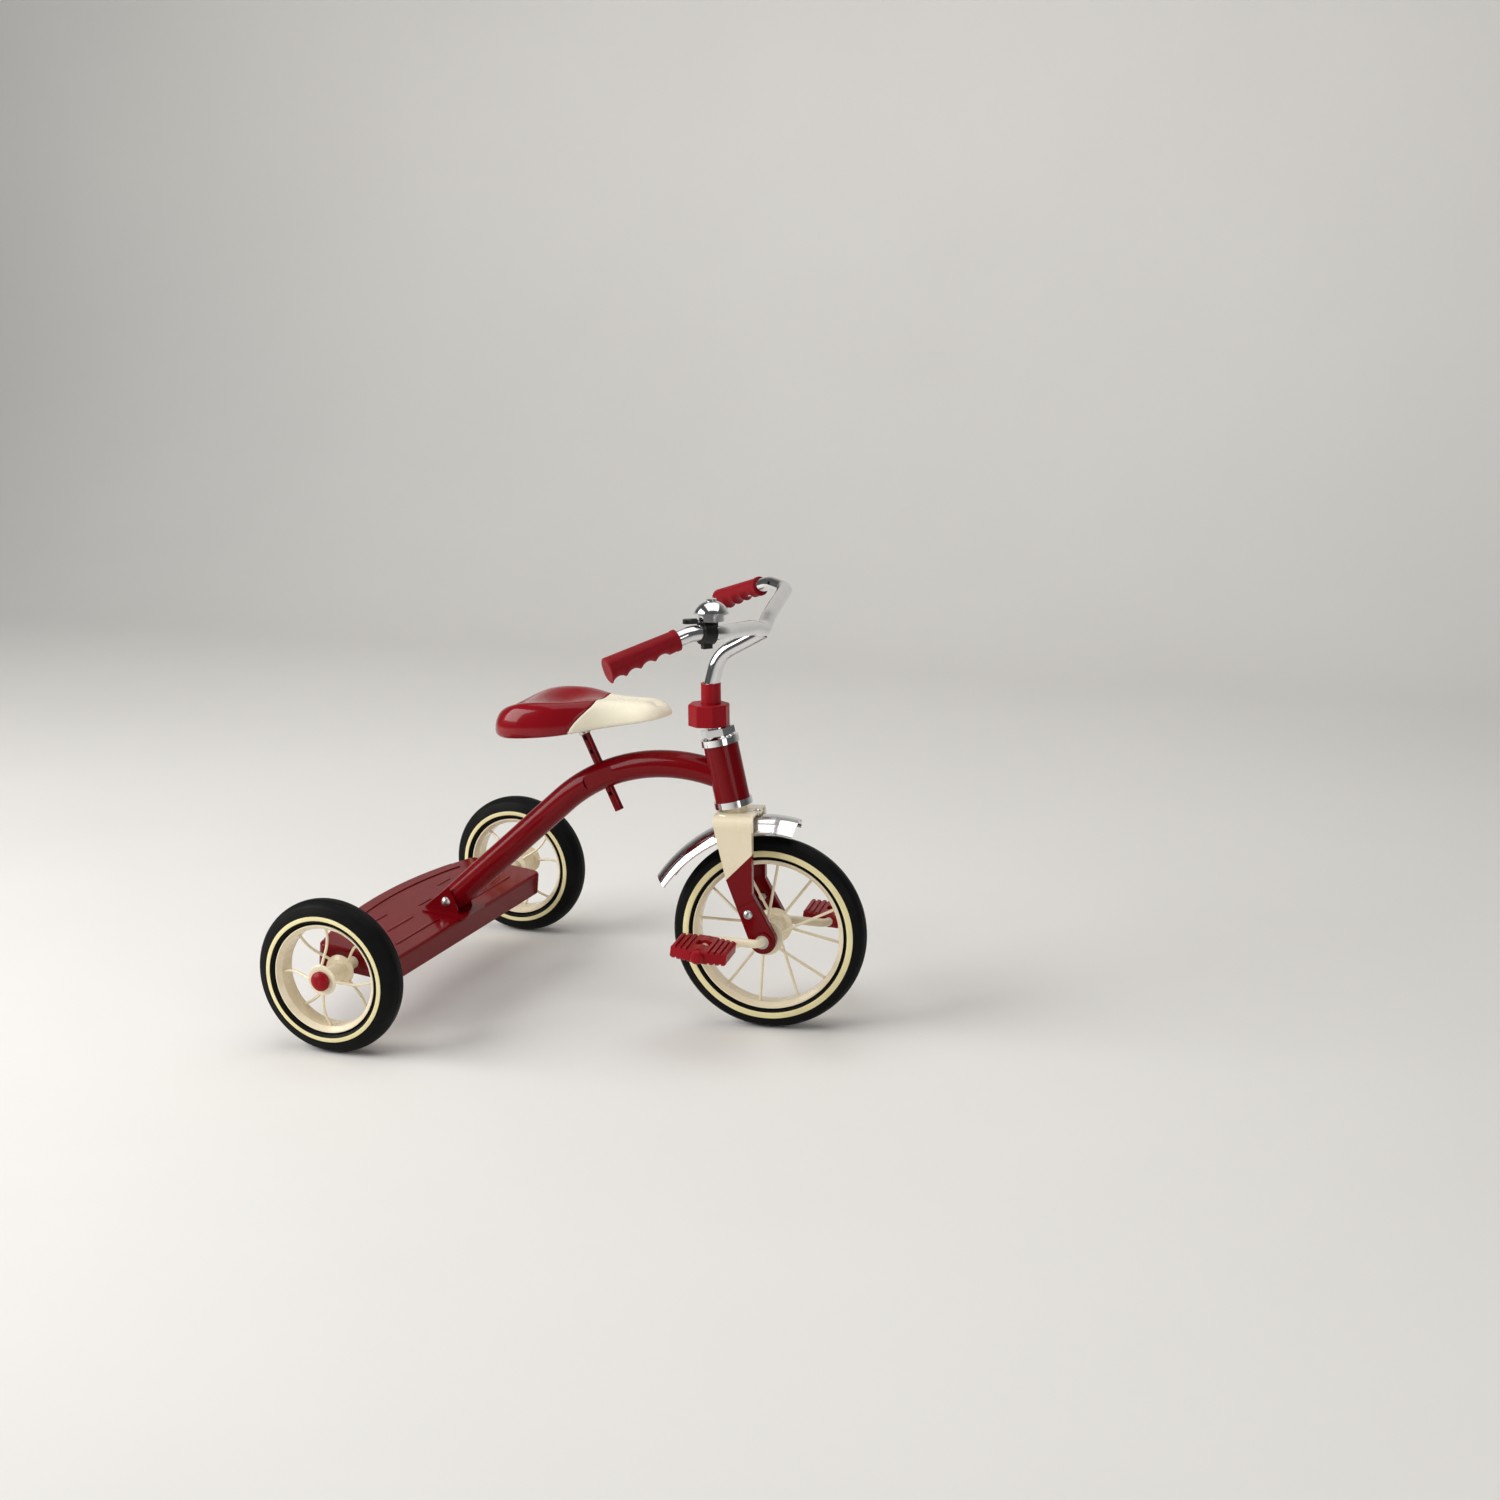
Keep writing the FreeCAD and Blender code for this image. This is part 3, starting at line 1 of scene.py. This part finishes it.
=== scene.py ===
"""The tricycle's looks: procedural materials on its CAD parts, and detailed tyres, rear spokes, saddle and
grips.

Metres, in the row's frame: X forward, Y to the rider's left, Z up from the floor.
"""

import bpy
import json
import math
from mathutils import Matrix, Vector

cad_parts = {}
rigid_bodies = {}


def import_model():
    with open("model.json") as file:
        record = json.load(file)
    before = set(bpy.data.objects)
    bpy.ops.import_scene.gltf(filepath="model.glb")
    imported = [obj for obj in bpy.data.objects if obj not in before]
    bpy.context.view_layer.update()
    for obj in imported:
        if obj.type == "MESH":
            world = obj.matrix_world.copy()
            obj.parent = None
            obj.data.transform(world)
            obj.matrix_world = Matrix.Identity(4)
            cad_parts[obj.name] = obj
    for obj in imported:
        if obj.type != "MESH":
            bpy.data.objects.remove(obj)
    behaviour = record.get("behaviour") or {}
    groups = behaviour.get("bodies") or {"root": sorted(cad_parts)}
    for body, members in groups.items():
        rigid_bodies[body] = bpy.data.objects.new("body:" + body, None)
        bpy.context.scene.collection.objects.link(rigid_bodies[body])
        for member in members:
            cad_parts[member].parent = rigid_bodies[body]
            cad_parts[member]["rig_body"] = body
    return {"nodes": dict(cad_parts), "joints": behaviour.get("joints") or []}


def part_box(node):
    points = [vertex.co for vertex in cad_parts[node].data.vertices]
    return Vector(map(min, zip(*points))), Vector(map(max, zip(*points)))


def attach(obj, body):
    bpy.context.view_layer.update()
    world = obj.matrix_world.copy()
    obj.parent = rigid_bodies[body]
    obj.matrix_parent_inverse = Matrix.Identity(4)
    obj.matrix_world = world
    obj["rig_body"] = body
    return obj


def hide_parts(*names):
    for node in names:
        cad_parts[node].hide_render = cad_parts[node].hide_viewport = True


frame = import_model()
NODES = frame["nodes"]
JOINTS = {j["name"]: j for j in frame["joints"]}
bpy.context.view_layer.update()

# ---- colours, linear ---------------------------------------------------------------------------
CRIMSON = (0.170, 0.0016, 0.0045)
CRIMSON_DARK = (0.115, 0.0016, 0.0040)
CREAM = (0.86, 0.76, 0.56)
CREAM_DARK = (0.72, 0.60, 0.41)
IVORY = (0.88, 0.82, 0.66)
LINE_CREAM = (0.86, 0.78, 0.44)
RUBBER = (0.0030, 0.0030, 0.0032)
STEEL = (0.60, 0.60, 0.60)
CHROME = (0.76, 0.76, 0.77)


# ---- materials ---------------------------------------------------------------------------------
def finish(name, colour, shade, rough, metallic=0.0, coat=0.0, grain=(60.0, 900.0), bump=0.05, depth=0.0002,
           spread=0.5, specular=0.4):
    """A material whose colour drifts from colour to shade, with varied roughness and fine bump.

    rough is the least and the most roughness; grain is the scale of the slow drift and of the fine bump; spread
    is how far the colour drifts at most.
    """
    mat = bpy.data.materials.new(name)
    mat.use_nodes = True
    nodes, links = mat.node_tree.nodes, mat.node_tree.links
    shader = nodes["Principled BSDF"]
    shader.inputs["Metallic"].default_value = metallic
    shader.inputs["Specular IOR Level"].default_value = specular
    shader.inputs["Coat Weight"].default_value = coat
    shader.inputs["Coat Roughness"].default_value = 0.06
    where = nodes.new("ShaderNodeTexCoord")

    def noise(scale, detail, roughness=0.55):
        node = nodes.new("ShaderNodeTexNoise")
        node.inputs["Scale"].default_value = scale
        node.inputs["Detail"].default_value = detail
        node.inputs["Roughness"].default_value = roughness
        links.new(where.outputs["Object"], node.inputs["Vector"])
        return node.outputs["Fac"]

    def remap(value, low, high, to_low, to_high):
        node = nodes.new("ShaderNodeMapRange")
        for key, number in zip(("From Min", "From Max", "To Min", "To Max"), (low, high, to_low, to_high)):
            node.inputs[key].default_value = number
        links.new(value, node.inputs["Value"])
        return node.outputs["Result"]

    def blend(factor, first, second):
        node = nodes.new("ShaderNodeMix")
        node.data_type = "RGBA"
        links.new(factor, node.inputs["Factor"])
        for socket, value in ((node.inputs[6], first), (node.inputs[7], second)):
            if isinstance(value, tuple):
                socket.default_value = (*value, 1.0)
            else:
                links.new(value, socket)
        return node.outputs[2]

    slow = noise(grain[0], 4.0)
    fine = noise(grain[1], 3.0)
    tint = blend(remap(slow, 0.35, 0.72, 0.0, spread), colour, shade)
    links.new(tint, shader.inputs["Base Color"])
    links.new(remap(noise(grain[0] * 1.7, 5.0), 0.3, 0.7, *rough), shader.inputs["Roughness"])
    relief = nodes.new("ShaderNodeBump")
    relief.inputs["Strength"].default_value = bump
    relief.inputs["Distance"].default_value = depth
    links.new(fine, relief.inputs["Height"])
    links.new(relief.outputs["Normal"], shader.inputs["Normal"])
    return mat


RED_PAINT = finish("crimson_enamel", CRIMSON, CRIMSON_DARK, (0.14, 0.26), coat=0.12, grain=(14.0, 420.0),
                   bump=0.08, spread=0.35, specular=0.1)
CREAM_PAINT = finish("cream_enamel", CREAM, CREAM_DARK, (0.20, 0.34), coat=0.4, grain=(20.0, 420.0), bump=0.08,
                     spread=0.25)
CHROME_PLATE = finish("chrome_plate", CHROME, (0.64, 0.64, 0.66), (0.05, 0.12), metallic=1.0,
                      grain=(30.0, 300.0), bump=0.03, spread=0.5)
ZINC = finish("zinc_plate", STEEL, (0.42, 0.42, 0.43), (0.24, 0.40), metallic=1.0, grain=(120.0, 1400.0),
              bump=0.12, spread=0.7)
RED_PLASTIC = finish("red_plastic", (0.30, 0.0040, 0.0110), (0.22, 0.003, 0.008), (0.30, 0.42),
                     grain=(40.0, 1500.0), bump=0.08, spread=0.4, specular=0.15)
GRIP_VINYL = finish("grip_vinyl", (0.25, 0.0035, 0.0100), (0.17, 0.002, 0.006), (0.38, 0.52),
                    grain=(50.0, 2200.0), bump=0.22, spread=0.5, specular=0.12)
IVORY_PLASTIC = finish("ivory_plastic", IVORY, (0.80, 0.70, 0.50), (0.22, 0.34), grain=(25.0, 1300.0),
                       bump=0.06, spread=0.2)
SADDLE_RED = finish("saddle_red", (0.24, 0.0035, 0.0090), (0.17, 0.002, 0.006), (0.14, 0.26), coat=0.4,
                    grain=(18.0, 900.0), bump=0.06, spread=0.35, specular=0.1)
BLACK_PLASTIC = finish("black_plastic", (0.006, 0.006, 0.006), (0.012, 0.012, 0.012), (0.30, 0.48),
                       grain=(80.0, 1600.0), bump=0.15, specular=0.3)
NYLON = finish("nylon", (0.55, 0.52, 0.46), (0.45, 0.42, 0.36), (0.35, 0.5), grain=(80.0, 1200.0))
TYRE_RUBBER = finish("tyre_rubber", RUBBER, (0.006, 0.006, 0.006), (0.44, 0.62), grain=(30.0, 1800.0),
                     bump=0.25, spread=0.7, specular=0.1)
TYRE_LINE = finish("whitewall_line", LINE_CREAM, (0.68, 0.55, 0.27), (0.38, 0.5), grain=(30.0, 1500.0),
                   bump=0.10, spread=0.35)

CAD_MATERIALS = {
    RED_PAINT: ["backbone_tube", "head_tube", "rear_deck", "deck_bracket", "fork_leg_left", "fork_leg_right",
                "axle_retainers", "seat_post"],
    CREAM_PAINT: ["axle_spacers", "fork_crown", "crank_axle", "front_rim", "front_hub", "front_spokes",
                  "left_rear_rim", "left_rear_hub", "left_rear_spokes",
                  "right_rear_rim", "right_rear_hub", "right_rear_spokes"],
    CHROME_PLATE: ["lower_headset_cup", "upper_headset_cup", "front_fender", "fender_screw", "steerer_tube",
                   "headset_locknut", "handlebar_stem", "handlebar_bar", "bell_base", "bell_dome"],
    ZINC: ["frame_bolt", "seat_post_screw", "rear_axle", "seat_bracket", "seat_bolts",
           "retainer_bolts", "stem_bolt"],
    RED_PLASTIC: ["axle_caps", "stem_cover", "pedal_caps", "pedal_left", "pedal_right"],
    BLACK_PLASTIC: ["bell_clamp", "bell_lever"],
    NYLON: ["headset_bushes", "front_axle_bushes", "left_rear_hub_bushes", "right_rear_hub_bushes"],
}
for material, names in CAD_MATERIALS.items():
    for name in names:
        NODES[name].data.materials.clear()
        NODES[name].data.materials.append(material)


# ---- mesh helpers ------------------------------------------------------------------------------
def new_object(name, points, faces, materials, smooth=True):
    mesh = bpy.data.meshes.new(name)
    mesh.from_pydata([tuple(p) for p in points], [], faces)
    for material in materials:
        mesh.materials.append(material)
    for face in mesh.polygons:
        face.use_smooth = smooth
    mesh.update()
    piece = bpy.data.objects.new(name, mesh)
    bpy.context.scene.collection.objects.link(piece)
    return piece


def in_place_of(piece, node):
    """The piece stands for a CAD node and moves with its body."""
    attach(piece, NODES[node]["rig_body"])
    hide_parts(node)


def axis_frame(origin, axis):
    """A matrix whose Z runs along axis and whose X is as near straight down as it can be."""
    down = Vector((0, 0, -1))
    z = Vector(axis).normalized()
    x = (down - z * down.dot(z)).normalized()
    y = z.cross(x)
    turn = Matrix((x, y, z)).transposed().to_4x4()
    return Matrix.Translation(origin) @ turn


# ---- tyres -------------------------------------------------------------------------------------
RIM_LIP = 0.0049                               # how far the rim's lip stands above the tyre's bead
LINE_HEIGHT = 0.0007
GROOVE_DEPTH = 0.0008
SIDE_STEPS, TREAD_STEPS, TYRE_TURNS = 26, 24, 144


def tyre(node, joint, foot, line, grooves):
    """A tyre with a raised cream line on each side wall and shallow grooves round its tread.

    foot is half the width of the rim's channel, which the tyre fills.
    """
    axis = Vector(JOINTS[joint]["axis"]).normalized()
    centre = Vector(JOINTS[joint]["pos_m"])
    cad = [v.co for v in NODES[node].data.vertices]
    reaches = [((p - centre) - axis * (p - centre).dot(axis)).length for p in cad]
    radius, bead = max(reaches), min(reaches)
    half = max(abs((p - centre).dot(axis)) for p in cad)
    edge = bead + RIM_LIP
    shoulder = radius - 0.30 * half
    side = []                                  # (offset along the axis, radius, is cream) up one side
    for k in range(SIDE_STEPS + 1):
        t = k / SIDE_STEPS
        r = edge + (shoulder - edge) * t
        if t < 0.30:
            bulge = foot + (half - foot) * math.sin(math.pi / 2 * t / 0.30) ** 0.7
        else:
            bulge = half * (0.80 + 0.20 * math.cos(math.pi / 2 * (t - 0.30) / 0.70))
        raised = LINE_HEIGHT if line[0] < r < line[1] else 0.0
        side.append((bulge + raised, r, bool(raised)))
    tread = []
    width = half * 0.80
    for k in range(TREAD_STEPS + 1):
        u = 1 - k / (TREAD_STEPS / 2)
        r = shoulder + (radius - shoulder) * (1 - abs(u) ** 2.4)
        cut = GROOVE_DEPTH if any(abs(u * width - g) < width / 20 for g in grooves) else 0.0
        tread.append((u * width, r - cut, False))
    profile = [(foot * 0.70, bead, False)] + side + tread[1:-1]
    profile += [(-a, r, c) for a, r, c in reversed(side)] + [(-foot * 0.70, bead, False)]
    place = axis_frame(centre, axis)
    points, faces, cream = [], [], []
    count = len(profile)
    for i in range(TYRE_TURNS):
        a = 2 * math.pi * i / TYRE_TURNS
        for offset, r, _ in profile:
            points.append(place @ Vector((r * math.cos(a), r * math.sin(a), offset)))
    for i in range(TYRE_TURNS):
        j = (i + 1) % TYRE_TURNS
        for k in range(count):
            m = (k + 1) % count
            faces.append((i * count + k, j * count + k, j * count + m, i * count + m))
            cream.append(profile[k][2] and profile[m][2])
    piece = new_object(node + "_moulded", points, faces, [TYRE_RUBBER, TYRE_LINE])
    for face, pale in zip(piece.data.polygons, cream):
        face.material_index = 1 if pale else 0
    in_place_of(piece, node)


tyre("front_tyre", "front_wheel_spin", 0.0100, (0.1040, 0.1124), (0.006, -0.006))
tyre("left_rear_tyre", "rear_wheel_left_spin", 0.0106, (0.0776, 0.0840), (0.007, -0.007))
tyre("right_rear_tyre", "rear_wheel_right_spin", 0.0106, (0.0776, 0.0840), (0.007, -0.007))


# ---- rear spokes -------------------------------------------------------------------------------
SPOKES, SPOKE_R = 8, 0.0018
SPOKE_FOOT, SPOKE_TIP = 0.0170, 0.0657         # radii at which a spoke leaves the hub and meets the rim
SPOKE_BOW = 0.0046


def curved_spokes(side, sign):
    """Eight bowed wires from the rear hub's two flanges, by turns, out to the rim."""
    node = f"{side}_rear_spokes"
    joint = JOINTS[f"rear_wheel_{side}_spin"]
    centre = Vector(joint["pos_m"])
    low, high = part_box(node)
    out = max(abs(low[1] - centre.y), abs(high[1] - centre.y)) - 0.0019
    points, faces = [], []
    steps, around = 24, 10
    for k in range(SPOKES):
        angle = 2 * math.pi / SPOKES * k
        ray = Vector((math.cos(angle), 0, math.sin(angle)))
        swing = Vector((-math.sin(angle), 0, math.cos(angle)))
        end = 1 if k % 2 == 0 else -1
        path = []
        for i in range(steps + 1):
            t = i / steps
            radius = SPOKE_FOOT + (SPOKE_TIP - SPOKE_FOOT) * t
            bow = SPOKE_BOW * math.sin(math.pi * t ** 1.3) * end * sign
            across = end * sign * (out * (1 - t) + 0.006 * t)
            path.append(centre + ray * radius + swing * bow + Vector((0, across, 0)))
        base = len(points)
        for i, p in enumerate(path):
            ahead = (path[min(steps, i + 1)] - path[max(0, i - 1)]).normalized()
            u = ahead.cross(Vector((0, 1, 0)) if abs(ahead.y) < 0.9 else ray).normalized()
            v = ahead.cross(u)
            for j in range(around):
                a = 2 * math.pi * j / around
                points.append(p + (u * math.cos(a) + v * math.sin(a)) * SPOKE_R)
        for i in range(steps):
            for j in range(around):
                m = (j + 1) % around
                faces.append((base + i * around + j, base + i * around + m,
                              base + (i + 1) * around + m, base + (i + 1) * around + j))
        faces.append(tuple(base + j for j in reversed(range(around))))
        faces.append(tuple(base + steps * around + j for j in range(around)))
    in_place_of(new_object(node + "_bowed", points, faces, [CREAM_PAINT]), node)


curved_spokes("left", 1)
curved_spokes("right", -1)


# ---- saddle ------------------------------------------------------------------------------------
SEAT_SHIFT = -0.261
REAR_X, NOSE_X = 0.1255, 0.3638
SEAT_LENGTH = NOSE_X - REAR_X


def seat_body(x):
    """Half width of the saddle at x, before its ends are rounded."""
    return 0.0286 + 0.04455 / (1 + math.exp((x - 0.256) / 0.0178))


def seat_half(x):
    """Half width with both ends rounded."""
    rear = min(1.0, max(0.0, 0.1875 - x) / 0.062)
    nose = min(1.0, max(0.0, x - 0.329) / 0.0348)
    return seat_body(x) * (1 - rear ** 2.6) ** (1 / 2.6) * (1 - nose ** 2.2) ** (1 / 2.2)


def seat_bottom(x):
    return 0.38003 + 0.0966 * (x - 0.2) + 0.36 * (x - 0.2) ** 2


def seat_rim(x):
    return 0.4245 - 0.0218 * (max(0.0, 0.3 - x) / 0.18) ** 6.65 - 0.006 * (max(0.0, x - 0.345) / 0.0188) ** 2


def seat_dish(x):
    return 0.0115 * math.exp(-((x - 0.203) / 0.046) ** 2) + 0.0010


def seam_x(z):
    """Where the red shell gives way to the nose, at a height."""
    return min(0.270, 0.2435 + 0.026 * max(0.0, (z - 0.386) / 0.034) ** 1.3)


# rings from the lower edge up over the rim: inset, share of the height
WALL_RINGS = [(0.0030, 0.0), (0.0008, 0.06), (0.0, 0.20), (0.0006, 0.38), (0.0020, 0.55),
              (0.0042, 0.71), (0.0072, 0.84), (0.0108, 0.93), (0.0150, 0.985), (0.0195, 1.0)]
# rings in the dish, as shares of the half width, from the rim in to the middle line
DISH_RINGS = [0.86, 0.72, 0.58, 0.44, 0.30, 0.15, 0.0]


def seat_point(u, ring):
    """A point on the right half of the saddle's top, u from its rear end to its nose."""
    inset, share = WALL_RINGS[min(ring, len(WALL_RINGS) - 1)]
    along = REAR_X + u * SEAT_LENGTH
    x = REAR_X + inset + u * (SEAT_LENGTH - 2 * inset)
    half = seat_half(along) * (1 - inset / seat_body(along))
    z = seat_bottom(along) + share * (seat_rim(along) - seat_bottom(along))
    if ring >= len(WALL_RINGS):
        v = DISH_RINGS[ring - len(WALL_RINGS)]
        sink = seat_dish(along) * (1 - v * v) ** 1.4
        return Vector((x + SEAT_SHIFT, -half * v, z - sink))
    return Vector((x + SEAT_SHIFT, -half, z))


def seam_u(ring):
    """The share of the length at which a ring meets the seam."""
    low, high = 0.3, 0.95
    for _ in range(30):
        mid = (low + high) / 2
        p = seat_point(mid, ring)
        low, high = (mid, high) if p.x - SEAT_SHIFT < seam_x(p.z) else (low, mid)
    return (low + high) / 2


def saddle_shell(name, node, material, rear):
    """One of the saddle's two shells, up to the seam: the red rear or the nose."""
    rings = len(WALL_RINGS) + len(DISH_RINGS)
    columns = 40
    gap = 0.0009                               # half the seam, as a share of the saddle's length
    points, faces = [], []
    for k in range(columns + 1):
        t = k / columns
        for ring in range(rings):
            split = seam_u(ring)
            if rear:
                u = (split - gap) * (1 - math.cos(math.pi / 2 * t))
            else:
                u = split + gap + (1 - split - gap) * math.sin(math.pi / 2 * t)
            points.append(seat_point(min(1.0, u), ring))
        for ring in range(rings - 2, -1, -1):
            p = points[k * (2 * rings - 1) + ring]
            points.append(Vector((p.x, -p.y, p.z)))
    across = 2 * rings - 1
    for k in range(columns):
        for m in range(across - 1):
            a = k * across + m
            faces.append((a, a + across, a + across + 1, a + 1))
    piece = new_object(name, points, faces, [material])
    weld = piece.modifiers.new("weld", "WELD")
    weld.merge_threshold = 0.00008
    wall = piece.modifiers.new("wall", "SOLIDIFY")
    wall.thickness = 0.0030
    wall.offset = -1.0
    in_place_of(piece, node)


saddle_shell("saddle_rear_shell", "saddle_rear", SADDLE_RED, True)
saddle_shell("saddle_nose_shell", "saddle_nose", IVORY_PLASTIC, False)


# ---- grips -------------------------------------------------------------------------------------
HOLLOWS, HOLLOW_PITCH, HOLLOW_DEPTH = 4, 0.0198, 0.0048
COLLAR_LENGTH, COLLAR_HEIGHT = 0.0045, 0.0008
FIRST_HOLLOW = 0.0145                          # nothing is hollowed nearer the collar than this
BAR_R = 0.0096


def grip(node):
    """A vinyl grip with four finger hollows underneath, a collar and a flat outer end."""
    co = [v.co.copy() for v in NODES[node].data.vertices]
    middle = sum(co, Vector()) / len(co)
    stem = Vector(JOINTS["steering_turn"]["pos_m"])
    outer = max(co, key=lambda p: (p - stem).length)
    # the axis is the direction in which the CAD grip's points spread most, turned to face outwards
    far = [p for p in co if (p - outer).length < 0.0315]
    spread = Matrix(((0, 0, 0), (0, 0, 0), (0, 0, 0)))
    for p in co:
        d = p - middle
        for i in range(3):
            for j in range(3):
                spread[i][j] += d[i] * d[j]
    axis = outer - middle
    for _ in range(40):
        axis = (spread @ axis).normalized()
    if axis.dot(sum(far, Vector()) / len(far) - middle) < 0:
        axis = -axis
    reach = [(p - middle).dot(axis) for p in co]
    length = max(reach) - min(reach)
    base = [p for p, r in zip(co, reach) if r > max(reach) - 0.0005]
    end = (min(base, key=lambda p: p.z) + max(base, key=lambda p: p.z)) / 2
    place = axis_frame(end - axis * length, axis)
    around, along = 56, 96
    rings = []
    for k in range(along + 1):
        s = length * k / along
        flare = 0.0120 + 0.0018 * (s / length)
        below = 0.0128 + 0.0052 * (s / length) ** 1.3
        hollow = (length - s) / HOLLOW_PITCH
        if s > FIRST_HOLLOW and hollow < HOLLOWS:
            below -= HOLLOW_DEPTH * math.sin(math.pi * (hollow % 1.0)) ** 0.75
        if s < COLLAR_LENGTH:
            flare += COLLAR_HEIGHT
            below += COLLAR_HEIGHT
        ring = []
        for i in range(around):
            a = 2 * math.pi * i / around
            under = max(0.0, math.cos(a)) ** 1.5
            ring.append((flare * (1 - under) + below * under, a))
        rings.append((s, ring))
    closed = [(length - 0.0006, 0.985), (length, 0.93), (length, 0.70), (length - 0.0005, 0.30)]
    points, faces = [], []
    sections = [(0.0, [(BAR_R, a) for _, a in rings[0][1]])] + rings[:-1]
    sections += [(s, [(r * scale, a) for r, a in rings[-1][1]]) for s, scale in closed]
    for s, ring in sections:
        points += [place @ Vector((r * math.cos(a), r * math.sin(a), s)) for r, a in ring]
    for k in range(len(sections) - 1):
        for i in range(around):
            j = (i + 1) % around
            faces.append((k * around + i, k * around + j, (k + 1) * around + j, (k + 1) * around + i))
    points.append(place @ Vector((0, 0, length - 0.0005)))
    last = (len(sections) - 1) * around
    faces += [(last + i, last + (i + 1) % around, len(points) - 1) for i in range(around)]
    in_place_of(new_object(node + "_moulded", points, faces, [GRIP_VINYL]), node)


grip("grip_left")
grip("grip_right")


# ---- floor, light and camera -------------------------------------------------------------------
def floor():
    """A pale floor that curves up into a wall behind the tricycle."""
    size, back, wall_height = 30.0, 2.2, 12.0
    points = [(-size, -size, 0), (size, -size, 0), (size, back, 0), (-size, back, 0)]
    faces = [(0, 1, 2, 3)]
    radius, steps = 1.2, 16
    for k in range(1, steps + 1):
        a = math.pi / 2 * k / steps
        rise, run = radius * (1 - math.cos(a)), back + radius * math.sin(a)
        points += [(-size, run, rise), (size, run, rise)]
    points += [(-size, back + radius, wall_height), (size, back + radius, wall_height)]
    left, right = 3, 2
    for k in range(steps + 1):
        nxt = 4 + 2 * k
        faces.append((left, right, nxt + 1, nxt))
        left, right = nxt, nxt + 1
    ground = finish("pale_floor", (0.82, 0.81, 0.79), (0.76, 0.75, 0.73), (0.55, 0.7), grain=(1.2, 60.0),
                    bump=0.05, spread=0.4)
    new_object("pale_sweep", points, faces, [ground])


def lamp(name, place, target, size, power):
    """A soft rectangular light at place that faces target."""
    data = bpy.data.lights.new(name, "AREA")
    data.shape = "RECTANGLE"
    data.size, data.size_y = size
    data.energy = power
    data.color = (1.0, 0.985, 0.96)
    light = bpy.data.objects.new(name, data)
    light.location = place
    light.rotation_mode = "QUATERNION"
    light.rotation_quaternion = (Vector(target) - Vector(place)).to_track_quat("-Z", "Y")
    bpy.context.scene.collection.objects.link(light)


floor()
lamp("key_softbox", (-2.6, -1.7, 2.0), (0, 0, 0.25), (3.0, 2.4), 135.0)
lamp("top_softbox", (0.3, 0.2, 3.0), (0, 0, 0.2), (3.4, 3.0), 45.0)
lamp("fill_softbox", (2.8, -2.2, 1.2), (0, 0, 0.3), (1.6, 2.0), 24.0)
world = bpy.data.worlds.new("studio")
world.use_nodes = True
world.node_tree.nodes["Background"].inputs["Color"].default_value = (0.86, 0.87, 0.88, 1.0)
world.node_tree.nodes["Background"].inputs["Strength"].default_value = 0.12
bpy.context.scene.world = world

camera_data = bpy.data.cameras.new("camera")
camera_data.lens = 57.117
camera_data.sensor_width = 36.0
camera = bpy.data.objects.new("camera", camera_data)
heading = Vector((-0.36104, 0.90257, -0.23457))
roll = math.radians(-1.1)
level = heading.cross(Vector((0, 0, 1))).normalized()
upright = level.cross(heading)
right = level * math.cos(roll) + upright * math.sin(roll)
up = upright * math.cos(roll) - level * math.sin(roll)
camera.matrix_world = Matrix.Translation((1.3087, -2.7409, 1.0801)) @ Matrix(
    (right, up, -heading)).transposed().to_4x4()
bpy.context.scene.collection.objects.link(camera)
bpy.context.scene.camera = camera

bpy.context.scene.view_settings.view_transform = "Standard"
